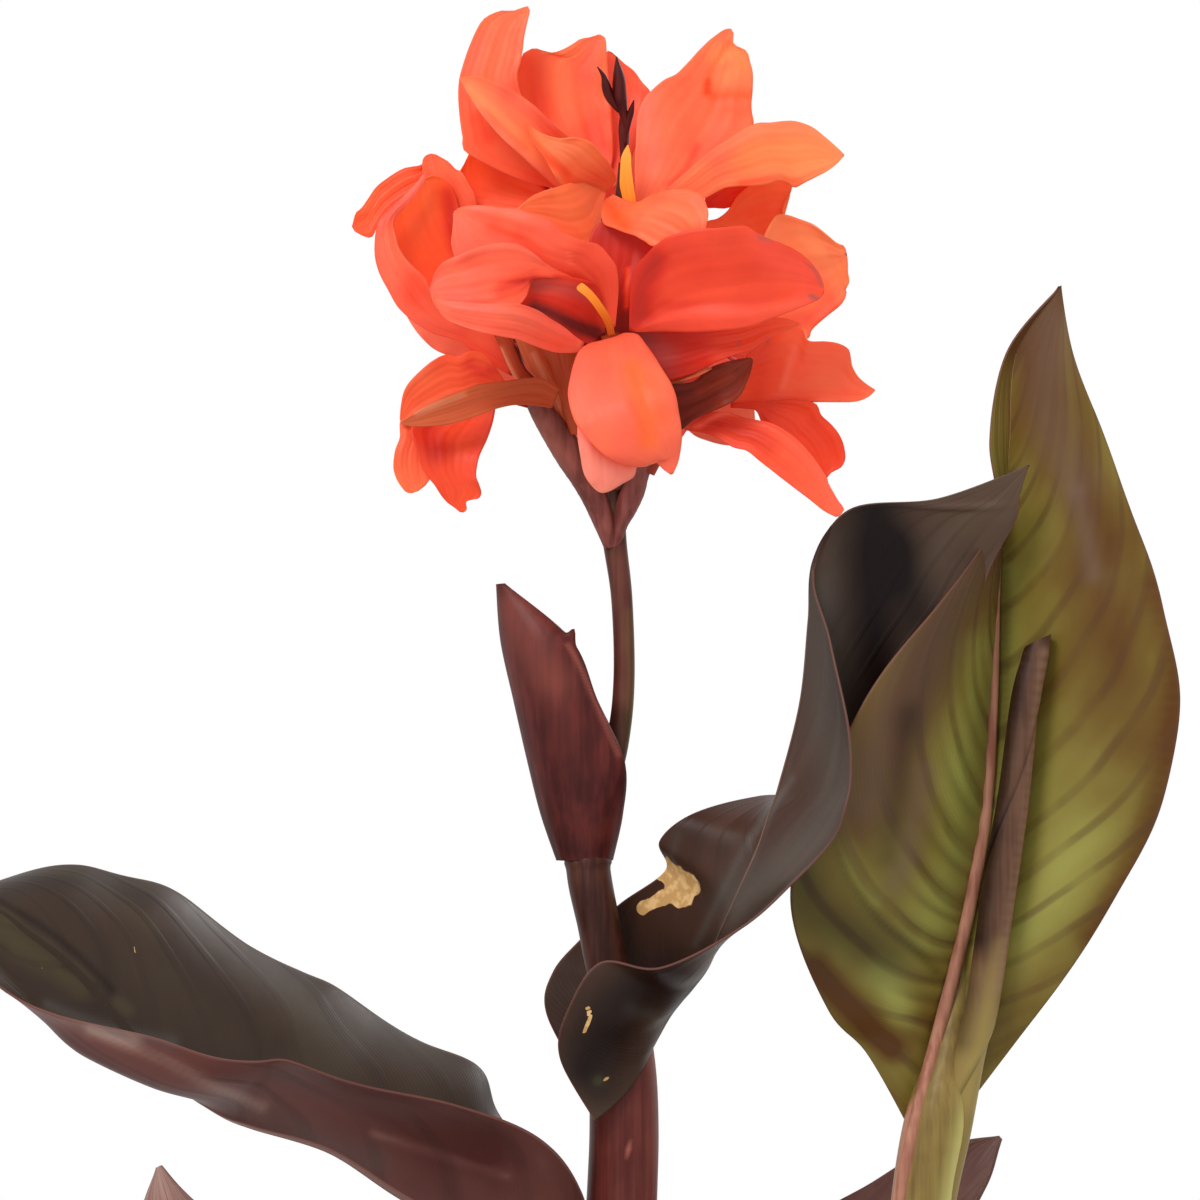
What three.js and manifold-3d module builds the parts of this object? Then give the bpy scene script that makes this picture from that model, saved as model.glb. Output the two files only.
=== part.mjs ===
// A canna lily in a plain round pot: one flowering stalk and one leafy shoot.
// Units are millimetres, +Z is up, and the origin is the middle of the pot's flat base.
// Run it with node and the npm packages three and manifold-3d: it exports a THREE.Group of named meshes.

import * as THREE from "three";
import { mergeVertices } from "three/addons/utils/BufferGeometryUtils.js";
import Module from "manifold-3d";

const wasm = await Module();
wasm.setup();

// ---------------------------------------------------------------------------------------------
// Driving dimensions

const GAP = 0.35; // air between two pieces that touch on the real plant

const POT = { height: 185, baseRadius: 84, rimRadius: 112, wall: 3.2, floor: 5, rimDrop: 22, rimLip: 4.5 };
const SOIL = { top: 165, dome: 4 };
const POT_SIDES = 24;

const CULM = { sides: 10, stalkSteps: 24, shootSteps: 7 };
const BLADE_MM = 0.9; // thickness of a leaf blade
const PETAL_MM = 0.7; // thickness of a petal
const EDGE_MM = 0.8; // least half width of a petal

// The flowering stalk's centre line, [x, y, z, radius], from the soil up to the last bud.
const STALK = [
  [-45, 0, 132, 8],
  [-42, 0, 220, 8],
  [-38, 0, 300, 8],
  [-36, 0, 360, 8],
  [-40, 0, 398, 8],
  [-45, 0, 426, 8],
  [-49.5, 0, 452, 8.2],
  [-45.5, 0, 473, 6.2],
  [-38.5, 0, 497, 4.9],
  [-36, 0, 520, 4.7],
  [-36.8, 0, 550, 4.8],
  [-39.5, 0, 572, 5.4],
  [-41.2, 0, 591, 6],
  [-41.4, 0, 612, 5],
  [-40.2, 0, 648, 4],
  [-37.6, 0, 690, 2.8],
  [-36.2, -1, 714, 1.8],
];

// Leaf sheaths that sleeve the stalk, lowest first: bottom and top level, outside radius at each.
const STALK_SHEATHS = {
  leaf_back_left: [152, 204.8, 16.4, 16],
  leaf_low_left: [205.2, 226.8, 15.8, 15.4],
  leaf_low_right: [227.2, 251.8, 15.2, 14.8],
  leaf_left: [252.2, 288.8, 14.6, 14.2],
  leaf_twisted: [289.2, 392, 13.6, 12.6],
};

// The leafy shoot's centre line, [x, y, z, radius]: the upright leaf's own sheath.
const SHOOT = [
  [56, 8, 132, 10],
  [60, 8, 190, 11],
  [72, 9, 270, 12],
  [78.5, 10, 325, 11.8],
  [83, 10, 360, 12],
];
const SHOOT_SHEATHS = {
  leaf_back_right: [152, 188.8, 15, 15],
  leaf_front_right: [189.2, 218, 14.6, 14.4],
};

// The young leaf, still rolled, that comes up inside the upright leaf's sheath.
const ROLLED_LEAF = [
  [74, 7, 285, 8],
  [80.5, 5.5, 325, 9.4],
  [87, 3, 365, 9.6],
  [93.5, 1.5, 400, 8.8],
  [100.5, 1.5, 437, 8],
  [107, 2, 475, 7.2],
  [113, 3, 512, 6],
  [118.5, 4, 529, 4.6],
  [121.5, 4.5, 537, 1.6],
];

// ---------------------------------------------------------------------------------------------
// Solids

const vec = (p) => new THREE.Vector3(p[0], p[1], p[2]);

function solidFrom(positions, triangles) {
  const vertProperties = new Float32Array(positions);
  const triVerts = new Uint32Array(triangles);
  return new wasm.Manifold(new wasm.Mesh({ numProp: 3, vertProperties, triVerts }));
}

// A three.js geometry as a solid, its shared vertices merged.
function solidOf(geometry) {
  const plain = geometry.clone();
  plain.deleteAttribute("normal");
  plain.deleteAttribute("uv");
  const merged = mergeVertices(plain, 1e-4);
  return solidFrom(merged.attributes.position.array, merged.index.array);
}

const fuse = (solids) => solids.reduce((whole, piece) => whole.add(piece));

// The biggest body of a solid: what a cut leaves loose is dropped.
function largest(solid) {
  const bodies = solid.decompose();
  return bodies.reduce((best, body) => (body.volume() > best.volume() ? body : best));
}

function meshOf(name, solid, material) {
  const mesh = solid.getMesh();
  const positions = new Float32Array(mesh.numVert * 3);
  for (let i = 0; i < mesh.numVert; i++) {
    positions.set(mesh.vertProperties.subarray(i * mesh.numProp, i * mesh.numProp + 3), i * 3);
  }
  const geometry = new THREE.BufferGeometry();
  geometry.setAttribute("position", new THREE.BufferAttribute(positions, 3));
  geometry.setIndex(new THREE.BufferAttribute(new Uint32Array(mesh.triVerts), 1));
  geometry.computeVertexNormals();
  const made = new THREE.Mesh(geometry, material);
  made.name = name;
  return made;
}

// A solid of revolution about Z from a closed profile of [radius, height] points.
function turned(profile, sides) {
  const points = profile.map(([r, z]) => new THREE.Vector2(r, z));
  const lathe = new THREE.LatheGeometry(points, sides);
  lathe.rotateX(Math.PI / 2); // the lathe's own axis is Y
  return solidOf(lathe);
}

// Smooth values between the rows of a table, all columns at once.
function valuesAt(table, t) {
  const place = Math.min(Math.max(t, 0), 1) * (table.length - 1);
  const i = Math.min(Math.floor(place), table.length - 2);
  const f = place - i;
  const row = (k) => table[Math.min(Math.max(k, 0), table.length - 1)];
  return table[0].map((_, c) => {
    const [a, b, d, e] = [row(i - 1)[c], row(i)[c], row(i + 1)[c], row(i + 2)[c]];
    return b + 0.5 * f * (d - a + f * (2 * a - 5 * b + 4 * d - e + f * (3 * (b - d) + e - a)));
  });
}

const STRIDE = 0.004; // share of a curve over which its direction is measured
const LEAST_RADIUS = 0.3;
const pointAt = (table, t) => vec(valuesAt(table, t));
const directionAt = (table, t) => pointAt(table, t + STRIDE).sub(pointAt(table, t - STRIDE)).normalize();

// A round limb along a centre line of [x, y, z, radius] rows, grown by a little where it cuts a seat.
function limb(line, steps, sides, grow = 0) {
  const along = pointAt(line, 1).sub(pointAt(line, 0)).normalize();
  const reference = vec(Math.abs(along.y) < 0.7 ? [0, 1, 0] : [1, 0, 0]);
  const positions = [];
  const triangles = [];
  for (let i = 0; i <= steps; i++) {
    const here = valuesAt(line, i / steps);
    const tangent = directionAt(line, i / steps);
    const right = reference.clone().cross(tangent).normalize();
    const back = tangent.clone().cross(right);
    const radius = Math.max(here[3] + grow, LEAST_RADIUS);
    for (let k = 0; k < sides; k++) {
      const angle = (2 * Math.PI * k) / sides;
      const point = vec(here)
        .addScaledVector(right, radius * Math.cos(angle))
        .addScaledVector(back, radius * Math.sin(angle));
      positions.push(point.x, point.y, point.z);
    }
  }
  for (const [t, sink] of [[0, -grow / 2], [1, grow / 2]]) {
    const end = pointAt(line, t).addScaledVector(directionAt(line, t), sink);
    positions.push(end.x, end.y, end.z);
  }
  const foot = (steps + 1) * sides;
  for (let k = 0; k < sides; k++) {
    const next = (k + 1) % sides;
    for (let i = 0; i < steps; i++) {
      const [a, b, c, d] = [i * sides + k, i * sides + next, (i + 1) * sides + next, (i + 1) * sides + k];
      triangles.push(a, b, c, a, c, d);
    }
    triangles.push(foot, next, k, foot + 1, steps * sides + k, steps * sides + next);
  }
  return solidFrom(positions, triangles);
}

// The share of a centre line at which it reaches a height.
function shareAt(line, z) {
  let [low, high] = [0, 1];
  const halvings = 30;
  for (let i = 0; i < halvings; i++) {
    const middle = (low + high) / 2;
    if (valuesAt(line, middle)[2] < z) low = middle;
    else high = middle;
  }
  return (low + high) / 2;
}

// A sleeve round a centre line between two heights, as a solid rod: its bore is cut later.
function sleeve(line, [bottom, top, radiusBelow, radiusAbove], grow = 0) {
  const stepHeight = 25;
  const steps = Math.max(2, Math.round((top - bottom) / stepHeight));
  const rows = [];
  for (let i = 0; i <= steps; i++) {
    const z = bottom - grow + ((top - bottom + 2 * grow) * i) / steps;
    const [x, y] = valuesAt(line, shareAt(line, z));
    rows.push([x, y, z, radiusBelow + ((radiusAbove - radiusBelow) * i) / steps]);
  }
  return limb(rows, steps, CULM.sides, grow);
}

// A thin closed sheet. surface(u, v) is its middle face, u along from 0 to 1, v across from -1 to 1,
// and thickness(u, v) is how far [above, below] it the two faces lie. pace spaces the rows along u.
function sheet(rows, columns, surface, thickness, pace = (t) => t) {
  const grid = [];
  for (let i = 0; i <= rows; i++) {
    grid.push([]);
    for (let j = 0; j <= columns; j++) grid[i].push(surface(pace(i / rows), (2 * j) / columns - 1));
  }
  const at = (i, j) => grid[Math.min(Math.max(i, 0), rows)][Math.min(Math.max(j, 0), columns)];
  const positions = [];
  const faces = [[], []];
  for (let i = 0; i <= rows; i++) {
    for (let j = 0; j <= columns; j++) {
      const down = at(i + 1, j).clone().sub(at(i - 1, j));
      const across = at(i, j + 1).clone().sub(at(i, j - 1));
      const normal = across.cross(down).normalize();
      const [above, below] = thickness(pace(i / rows), (2 * j) / columns - 1);
      faces[0].push(at(i, j).clone().addScaledVector(normal, above));
      faces[1].push(at(i, j).clone().addScaledVector(normal, -below));
    }
  }
  for (const side of faces) for (const p of side) positions.push(p.x, p.y, p.z);
  const count = (rows + 1) * (columns + 1);
  const index = (i, j) => i * (columns + 1) + j;
  const triangles = [];
  const quad = (a, b, c, d) => triangles.push(a, b, c, a, c, d);
  for (let i = 0; i < rows; i++) {
    for (let j = 0; j < columns; j++) {
      const [a, b, c, d] = [index(i, j), index(i, j + 1), index(i + 1, j + 1), index(i + 1, j)];
      triangles.push(a, b, d, b, c, d);
      triangles.push(a + count, d + count, b + count, b + count, d + count, c + count);
    }
    quad(index(i, 0), index(i + 1, 0), index(i + 1, 0) + count, index(i, 0) + count);
    const [upper, lower] = [index(i, columns), index(i + 1, columns)];
    quad(lower, upper, upper + count, lower + count);
  }
  for (let j = 0; j < columns; j++) {
    quad(index(0, j + 1), index(0, j), index(0, j) + count, index(0, j + 1) + count);
    quad(index(rows, j), index(rows, j + 1), index(rows, j + 1) + count, index(rows, j) + count);
  }
  const solid = solidFrom(positions, triangles);
  return solid.volume() < 0 ? solidFrom(positions, triangles.reverse()) : solid;
}

// ---------------------------------------------------------------------------------------------
// Leaves

// A leaf blade stretched over three rails: its rib, its near edge and its far edge.
// Each station is [rib x, y, z, near x, y, z, far x, y, z, near bulge, far bulge].
function railBlade(stations, { rows, columns, rib = 3, waves = 7, ripple = 1.2 }) {
  const farPhase = 1.3; // the far edge's waves run ahead of the near edge's by this much
  const surface = (u, v) => {
    const row = valuesAt(stations, u);
    const near = v < 0;
    const s = Math.abs(v);
    const centre = vec(row);
    const reach = vec(row.slice(near ? 3 : 6)).sub(centre);
    const outward = directionAt(stations, u).cross(reach).normalize();
    const phase = 2 * Math.PI * waves * u + (near ? 0 : farPhase);
    const wave = ripple * s * s * Math.sin(phase) * Math.sin(Math.PI * u);
    const lift = 4 * s * (1 - s) * row[near ? 9 : 10] + wave;
    return centre.addScaledVector(reach, s).addScaledVector(outward, near ? lift : -lift);
  };
  const thickness = (u, v) => [BLADE_MM / 2, BLADE_MM / 2 + (v === 0 ? rib * (1 - u) * (1 - u) : 0)];
  return sheet(rows, columns, surface, thickness);
}

// Half the width of a lance-shaped leaf, as a share of its widest, at share u of its length.
const lance = (u) => Math.max(Math.pow(Math.sin(Math.PI * Math.pow(u, 0.8)), 0.85), 0.02);

// Stations of an arching leaf: its rib runs through a few points, and its halves rise from the rib.
function archedStations({ path, width, rise, roll }) {
  const count = 9;
  const foot = 0.08; // share of the lance outline that the sheath hides
  const bulge = 0.12; // of a half blade's width
  const stations = [];
  for (let i = 0; i <= count; i++) {
    const u = i / count;
    const centre = pointAt(path, u);
    const tangent = directionAt(path, u);
    const side = tangent.clone().cross(new THREE.Vector3(0, 0, 1)).normalize();
    const up = side.clone().cross(tangent).normalize();
    const half = Math.max((width / 2) * lance(foot + (1 - foot) * u), 1);
    const edge = (across, sign) =>
      centre
        .clone()
        .addScaledVector(across.applyAxisAngle(tangent, roll * u), half * Math.cos(rise) * sign)
        .addScaledVector(up.clone().applyAxisAngle(tangent, roll * u), half * Math.sin(rise));
    const [near, far] = [edge(side.clone(), 1), edge(side.clone(), -1)];
    stations.push([...centre.toArray(), ...near.toArray(), ...far.toArray(), half * bulge, half * bulge]);
  }
  return stations;
}

const UPRIGHT_LEAF = [
  [79, 15, 356, 71, 12, 352, 91, 17, 356, 0, 0],
  [81, 17, 385, 55, 8, 380, 112, 15, 384, 2, 2],
  [86, 20, 412, 40, 0, 397, 129, 10, 407, 5, 4],
  [92, 23, 437, 26, -9, 437, 149, 3, 439, 8, 6],
  [97.5, 26, 471, 34, -19, 474, 166, -2, 475, 9, 8],
  [102, 28, 512, 53, -24, 512, 172, -4, 512, 8, 9],
  [103.5, 26, 550, 82, -14, 550, 166, -2, 548, 5, 8],
  [107, 22, 580, 103, 8, 578, 155, 2, 582, 1, 6],
  [109.5, 18, 610, 102, 11, 610, 143.5, 6, 614, 0, 4],
  [112, 16, 643, 108, 13, 643, 133, 10, 643, 0, 1],
  [128, 14, 668, 127.5, 13.5, 667, 128.7, 14.5, 668.5, 0, 0],
];

const TWISTED_LEAF = [
  [-25, -5, 384, -47, -20, 356, -50, 17, 366, 3, 3],
  [-19.5, -8, 394, -60, -28, 380, -65, 24, 393, 7, 6],
  [-15, -10, 400, -57, -35, 398, -63, 26, 409, 9, 6],
  [-10, -13, 406, -45, -41, 416, -52, 24, 422, 8, 5],
  [-4.5, -17, 414, -22.5, -46, 414, -37, 13, 436, 4, 3],
  [1, -22, 428, 8, -48, 430, -20, 1, 449, 1, 2],
  [7, -25, 442, 28, -46, 447, -22.5, -6, 460, 1, 1],
  [14, -24, 458, 41, -45, 462, -11, -8, 469.5, 1, 0],
  [18, -22, 470, 46, -45, 473, 15, 4, 476, 2, 0],
  [22, -20, 481, 47.5, -44, 485, 45, 4, 480, 4, -4],
  [30, -15, 512, 46.6, -41, 506, 69, 2, 515, 4, -6],
  [33, -10, 542, 40, -28, 535, 85, 3, 545, 3, -7],
  [35, -4, 565, 35, -8, 560, 92, 2, 565, 0, -6],
  [49, 0, 584, 49, 1.5, 582, 105, -4, 580.5, 0, -3],
  [82, -1, 588, 82, 0, 586.5, 109, -6, 589, 0, -1],
  [115, -7, 600, 114.6, -6.5, 599.4, 115.4, -7.5, 600.5, 0, 0],
];

const LEFT_LEAF = [
  [-46, -5, 287, -45, -12, 297, -49, 8, 299, 0, 0],
  [-68, -12, 300, -52, -28, 328, -71, 11, 338, 3, 4],
  [-94, -18, 314, -67, -40, 347, -84, 13, 357, 5, 6],
  [-120, -24, 329, -98, -50, 361, -90, 17, 373, 6, 8],
  [-146, -30, 346, -129, -58, 367, -112, 18, 385, 6, 9],
  [-174, -36, 356, -158, -66, 381, -141, 16, 403, 6, 9],
  [-201, -43, 368, -187, -74, 386, -172, 10, 421, 6, 8],
  [-225, -48, 386, -219, -82, 392, -199, 0, 442, 14, 6],
  [-248, -54, 419, -256, -82, 405, -229, -14, 450, 8, 4],
  [-272, -60, 430, -279, -76, 410, -262, -32, 446, 3, 2],
  [-306, -70, 426, -305.6, -71, 425, -306.4, -69, 427, 0, 0],
];

const ARCHED_LEAVES = {
  leaf_low_left: {
    path: [[-46, -8, 222], [-84, -38, 244], [-134, -74, 266], [-184, -108, 296], [-205, -98, 344.5]],
    width: 88,
    rise: 0.35,
    roll: 1.4,
  },
  leaf_low_right: {
    path: [[-40, 10, 247], [-12, 34, 260], [30, 52, 266], [84, 58, 314], [108, 56, 344.6]],
    width: 98,
    rise: 0.35,
    roll: -0.8,
  },
  leaf_front_right: {
    path: [[64, 0, 213], [96, -34, 246], [146, -66, 262], [200, -92, 244], [238, -108, 206]],
    width: 92,
    rise: 0.3,
    roll: 0.15,
  },
  leaf_back_left: {
    path: [[-48, 8, 200], [-74, 52, 246], [-106, 98, 272], [-136, 142, 262], [-156, 182, 224]],
    width: 92,
    rise: 0.32,
    roll: -0.1,
  },
  leaf_back_right: {
    path: [[60, 14, 184], [84, 64, 238], [106, 112, 268], [128, 156, 258], [146, 196, 216]],
    width: 90,
    rise: 0.32,
    roll: 0.1,
  },
};

// The sheath-like bract round the stalk: its keel is on the left and its edges meet on the right.
// Each row is the keel's place, the bract's width from keel to edges and the angle that it wraps to.
const BRACT = [
  [-61, 0, 452.5, 28, 2.9],
  [-67, 0, 470, 39, 2.6],
  [-72, 0, 490, 45, 2.25],
  [-77, 0, 512, 39, 2.1],
  [-82, 0, 535, 33, 2],
  [-83.6, 0, 556, 4, 1.6],
];
const BRACT_FLAT = 0.25; // the angle at which the wrap leaves the keel

function bract() {
  const surface = (u, v) => {
    const [x, y, z, width, wrap] = valuesAt(BRACT, u);
    const turn = wrap - BRACT_FLAT;
    const angle = BRACT_FLAT + turn * Math.abs(v);
    const out = (width * (Math.sin(angle) - Math.sin(BRACT_FLAT))) / turn;
    const inward = (width * (Math.cos(BRACT_FLAT) - Math.cos(angle))) / turn;
    return vec([x + inward, y + Math.sign(v) * out, z]);
  };
  return sheet(9, 8, surface, () => [BLADE_MM / 2, BLADE_MM / 2]);
}

// ---------------------------------------------------------------------------------------------
// Flowers

// The middle of the flower head, on the stalk. Flower positions are measured from it.
const HEAD = new THREE.Vector3(-40, 0, 662);

// Half the width of a broad petal, as a share of its widest, at share u of its length.
const broad = (u) => 0.08 + 0.92 * Math.pow(Math.sin(Math.PI * Math.pow(u, 1.5)), 0.75);
// The same for a narrow, pointed petal.
const narrow = (u) => (0.35 + 0.65 * Math.sin(Math.PI * Math.pow(u, 0.8))) * (1 - Math.pow(u, 6));

// A petal from its root over its belly to its tip. face is what its inner side looks towards.
function petal(root, { belly, tip, width, face, slim = false }, index) {
  const cup = 0.18; // how far the edges rise, as a share of the half width
  const ruffle = 1.5;
  const [rows, columns, gather] = slim ? [4, 2, 1.2] : [5, 4, 1.6];
  const middle = vec(belly).multiplyScalar(2).addScaledVector(root, -0.5).addScaledVector(vec(tip), -0.5);
  const curve = new THREE.QuadraticBezierCurve3(root, middle, vec(tip));
  const surface = (u, v) => {
    const tangent = curve.getTangent(u);
    const side = tangent.clone().cross(vec(face)).normalize();
    const up = side.clone().cross(tangent);
    const half = Math.max((width / 2) * (slim ? narrow(u) : broad(u)), EDGE_MM);
    const wave = ruffle * u * Math.sin(9 * u + 2.1 * index + (v < 0 ? 1.9 : 0));
    return curve
      .getPoint(u)
      .addScaledVector(side, half * v)
      .addScaledVector(up, (cup * half + wave) * v * v);
  };
  const pace = (t) => 1 - Math.pow(1 - t, gather);
  return sheet(rows, columns, surface, () => [PETAL_MM / 2, PETAL_MM / 2], pace);
}

// Each flower: its seat on the stalk, its throat, what it looks towards, its petals and its style.
const FLOWERS = {
  front: {
    seat: [1, -6, -70],
    throat: [-1, -36, -14],
    gaze: [0, -1, 0.2],
    petals: [
      { belly: [-31, -52, 18], tip: [-59, -48, 25], width: 38 },
      { belly: [-37, -62, -2], tip: [-69, -58, 5], width: 34 },
      { belly: [38, -54, 6], tip: [79, -46, 6], width: 41 },
      { belly: [36, -40, -17], tip: [72, -34, -13], width: 26 },
      { belly: [-1, -64, -38], tip: [7, -62, -61], width: 34 },
      { belly: [-5, -56, -44], tip: [-5, -54, -71], width: 24 },
      { belly: [10, -54, -40], tip: [19, -50, -65], width: 22 },
    ],
    style: [[-4, -48, -1], [-11, -55, 5]],
  },
  top_right: {
    seat: [1, -4, 0],
    throat: [3, -18, 32],
    gaze: [0.1, -0.8, 0.5],
    petals: [
      { belly: [16, -26, 60], tip: [29, -24, 84], width: 26 },
      { belly: [30, 2, 68], tip: [44, 6, 101], width: 38 },
      { belly: [46, -8, 52], tip: [86, -2, 56], width: 28 },
      { belly: [11, -44, 36], tip: [27, -56, 20], width: 44 },
    ],
    style: [[5, -24, 47], [6, -25, 58]],
  },
  top_left: {
    seat: [0, 2, 12],
    throat: [-7, 4, 42],
    gaze: [-0.2, -0.6, 0.6],
    petals: [
      { belly: [-41, -6, 72], tip: [-36, 0, 109], width: 36 },
      { belly: [-14, 12, 76], tip: [-13, 16, 100], width: 40 },
      { belly: [-28, -16, 60], tip: [-53, -20, 77], width: 28 },
      { belly: [4, 18, 68], tip: [7, 24, 91], width: 32 },
      { belly: [-18, -22, 56], tip: [-32, -28, 68], width: 24 },
    ],
    style: [[-12, -6, 50], [-18, -14, 54]],
  },
  left: {
    seat: [-3, -1, -52],
    throat: [-38, -6, -14],
    gaze: [-0.5, -0.8, 0.3],
    spin: -0.2,
    petals: [
      { belly: [-54, -2, 26], tip: [-68, 0, 53], width: 36 },
      { belly: [-70, 0, 20], tip: [-97, -4, 28], width: 36 },
      { belly: [-62, -14, 6], tip: [-90, -12, 14], width: 36 },
      { belly: [-38, 8, 24], tip: [-46, 12, 46], width: 34 },
      { belly: [-28, -12, -25], tip: [-43, -14, -12], width: 11, slim: true, low: true },
      { belly: [-20, -12, -28], tip: [-27, -18, -13], width: 11, slim: true, low: true },
    ],
    style: [[-44, -14, -2], [-50, -20, 6]],
  },
  low_left: {
    seat: [0, -3, -84],
    throat: [-28, -14, -38],
    gaze: [-0.5, -0.8, 0.1],
    bulk: 1.4,
    petals: [
      { belly: [-58, -20, -29], tip: [-77, -24, -36], width: 22 },
      { belly: [-64, -26, -42], tip: [-76, -28, -71], width: 25 },
      { belly: [-54, -26, -49], tip: [-57, -26, -79], width: 27 },
      { belly: [-53, -38, -37], tip: [-79, -42, -46], width: 11, slim: true },
    ],
    style: [[-42, -24, -36], [-50, -28, -36]],
  },
  low_right: {
    seat: [2, -3, -84],
    throat: [26, -12, -42],
    gaze: [0.5, -0.8, 0.1],
    bulk: 1.6,
    petals: [
      { belly: [60, -16, -24], tip: [97, -18, -31], width: 29 },
      { belly: [54, -26, -53], tip: [84, -28, -79], width: 22 },
      { belly: [58, -18, -42], tip: [86, -18, -60], width: 28 },
      { belly: [34, -22, -26], tip: [50, -24, -20], width: 20 },
    ],
    style: [[36, -24, -36], [43, -30, -35]],
  },
  right: {
    seat: [3, 4, -44],
    throat: [42, 8, -16],
    gaze: [0.6, -0.7, 0.3],
    petals: [
      { belly: [60, 10, 18], tip: [86, 8, 21], width: 36 },
      { belly: [48, 18, 28], tip: [64, 16, 38], width: 26 },
      { belly: [68, 14, -2], tip: [88, 12, 6], width: 30 },
      { belly: [58, 26, -28], tip: [70, 34, -44], width: 26 },
    ],
    style: [[52, 6, -4], [58, 4, 4]],
  },
  back_top: {
    seat: [0, 4, -14],
    throat: [0, 32, 18],
    gaze: [0, 0.9, 0.4],
    petals: [
      { belly: [-20, 44, 40], tip: [-36, 54, 62], width: 34 },
      { belly: [2, 46, 50], tip: [4, 56, 76], width: 34 },
      { belly: [24, 46, 32], tip: [46, 56, 48], width: 36 },
      { belly: [-30, 52, 12], tip: [-58, 62, 16], width: 32 },
      { belly: [8, 58, 2], tip: [12, 76, -22], width: 34 },
    ],
    style: [[2, 44, 26], [4, 52, 32]],
  },
  back_left: {
    seat: [-4, 4, -34],
    throat: [-26, 30, -22],
    gaze: [-0.5, 0.85, 0.1],
    petals: [
      { belly: [-52, 36, -6], tip: [-80, 40, 2], width: 32 },
      { belly: [-42, 48, -26], tip: [-62, 60, -38], width: 28 },
      { belly: [-18, 52, -30], tip: [-14, 66, -56], width: 32 },
    ],
    style: [[-34, 42, -18], [-40, 49, -15]],
  },
  back_right: {
    seat: [4, 5, -60],
    throat: [20, 28, -26],
    gaze: [0.4, 0.9, 0],
    petals: [
      { belly: [34, 44, -36], tip: [52, 54, -52], width: 28 },
      { belly: [16, 54, -36], tip: [14, 66, -60], width: 28 },
      { belly: [38, 50, -14], tip: [62, 62, -8], width: 32 },
    ],
    style: [[26, 42, -22], [30, 50, -19]],
  },
};

const OVARY = { length: 14, foot: 2, belly: 4.2, neck: 3 };
// A sepal stands off the flower's tube: [distance past the ovary, distance off the axis, radius] rows.
const SEPAL = [[-3, 2.6, 1], [5, 6.4, 1.7], [14, 5.8, 0.4]];
const SEPALS = 3;
const TUBE = { radiusBelow: 2.4, radiusBetween: 2.8, radiusAbove: 3.6, bow: 1.5, claw: 2.5, clearance: 0.55 };
const STYLE = { radius: 1.5, clearance: 0.65 };

const place = (p) => vec(p).add(HEAD);
const limbRow = (p, radius) => [...p.toArray(), radius];

// The flower buds at the top of the stalk.
const BUDS = [
  { foot: [-36.6, 0, 702], tip: [-46, -6, 750], radius: 3 },
  { foot: [-36.2, -1, 708], tip: [-39, -5, 753], radius: 3.2 },
  { foot: [-35.6, -1, 700], tip: [-32.4, -6, 737], radius: 2.4 },
  { foot: [-36, 1, 706], tip: [-36, 5, 742], radius: 2.6 },
];
const BUD_SHAPE = [0.5, 1, 0.95, 0.5, 0.1];

function bud({ foot, tip, radius }) {
  const last = BUD_SHAPE.length - 1;
  const line = BUD_SHAPE.map((share, i) => limbRow(vec(foot).lerp(vec(tip), i / last), radius * share));
  return limb(line, last, 5);
}

// The ovary is a small barrel, and its pointed sepals stand round the flower's tube.
function ovaryOf({ seat, throat, bulk = 1, spin = 0 }) {
  const foot = place(seat);
  const axis = place(throat).sub(foot).normalize();
  const along = (mm) => foot.clone().addScaledVector(axis, mm * bulk);
  const across = axis.clone().cross(new THREE.Vector3(0.3, 0.2, 1)).normalize();
  const { length, belly, neck } = OVARY;
  const barrel = [
    limbRow(foot, OVARY.foot),
    limbRow(along(length * 0.55), belly * bulk),
    limbRow(along(length), neck),
  ];
  const sepals = Array.from({ length: SEPALS }, (_, k) => {
    const out = across.clone().applyAxisAngle(axis, spin + (2 * Math.PI * k) / SEPALS);
    const rows = SEPAL.map(([past, off, radius]) =>
      limbRow(along(length + past).addScaledVector(out, off * bulk), radius * bulk),
    );
    return limb(rows, 2, 3);
  });
  return fuse([limb(barrel, 2, 6), ...sepals]);
}

// The tube widens into the throat, where each petal's claw is sunk, and the style stands free in a seat.
function bloomOf({ seat, throat, gaze, bulk = 1, petals, style }) {
  const mouth = place(throat);
  const axis = mouth.clone().sub(place(seat)).normalize();
  const start = place(seat).addScaledVector(axis, OVARY.length * bulk + TUBE.clearance);
  const bend = start.clone().lerp(mouth, 0.5).addScaledVector(vec(gaze), -TUBE.bow);
  const tube = [
    limbRow(start, TUBE.radiusBelow),
    limbRow(bend, TUBE.radiusBetween),
    limbRow(mouth, TUBE.radiusAbove),
  ];
  const inside = mouth.clone().addScaledVector(axis, -TUBE.claw);
  const blades = petals.map((shape, i) => {
    const outward = place(shape.belly).sub(mouth).projectOnPlane(axis).normalize();
    const root = (shape.low ? start : inside).clone().addScaledVector(outward, TUBE.radiusAbove / 2);
    const placed = { belly: place(shape.belly).toArray(), tip: place(shape.tip).toArray(), face: gaze };
    return petal(root, { ...shape, ...placed }, i);
  });
  const line = [limbRow(inside, STYLE.radius), ...style.map((p) => limbRow(place(p), STYLE.radius))];
  return {
    bloom: fuse([limb(tube, 2, 6), ...blades]).subtract(limb(line, 2, 5, STYLE.clearance)),
    style: limb(line, 2, 5),
  };
}

// ---------------------------------------------------------------------------------------------
// Pot and soil

// The outside radius of the pot's wall at a height below its rim.
function wallRadius(z) {
  const { height, baseRadius, rimRadius, rimDrop, rimLip } = POT;
  return baseRadius + ((rimRadius - rimLip - baseRadius) * z) / (height - rimDrop);
}

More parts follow.
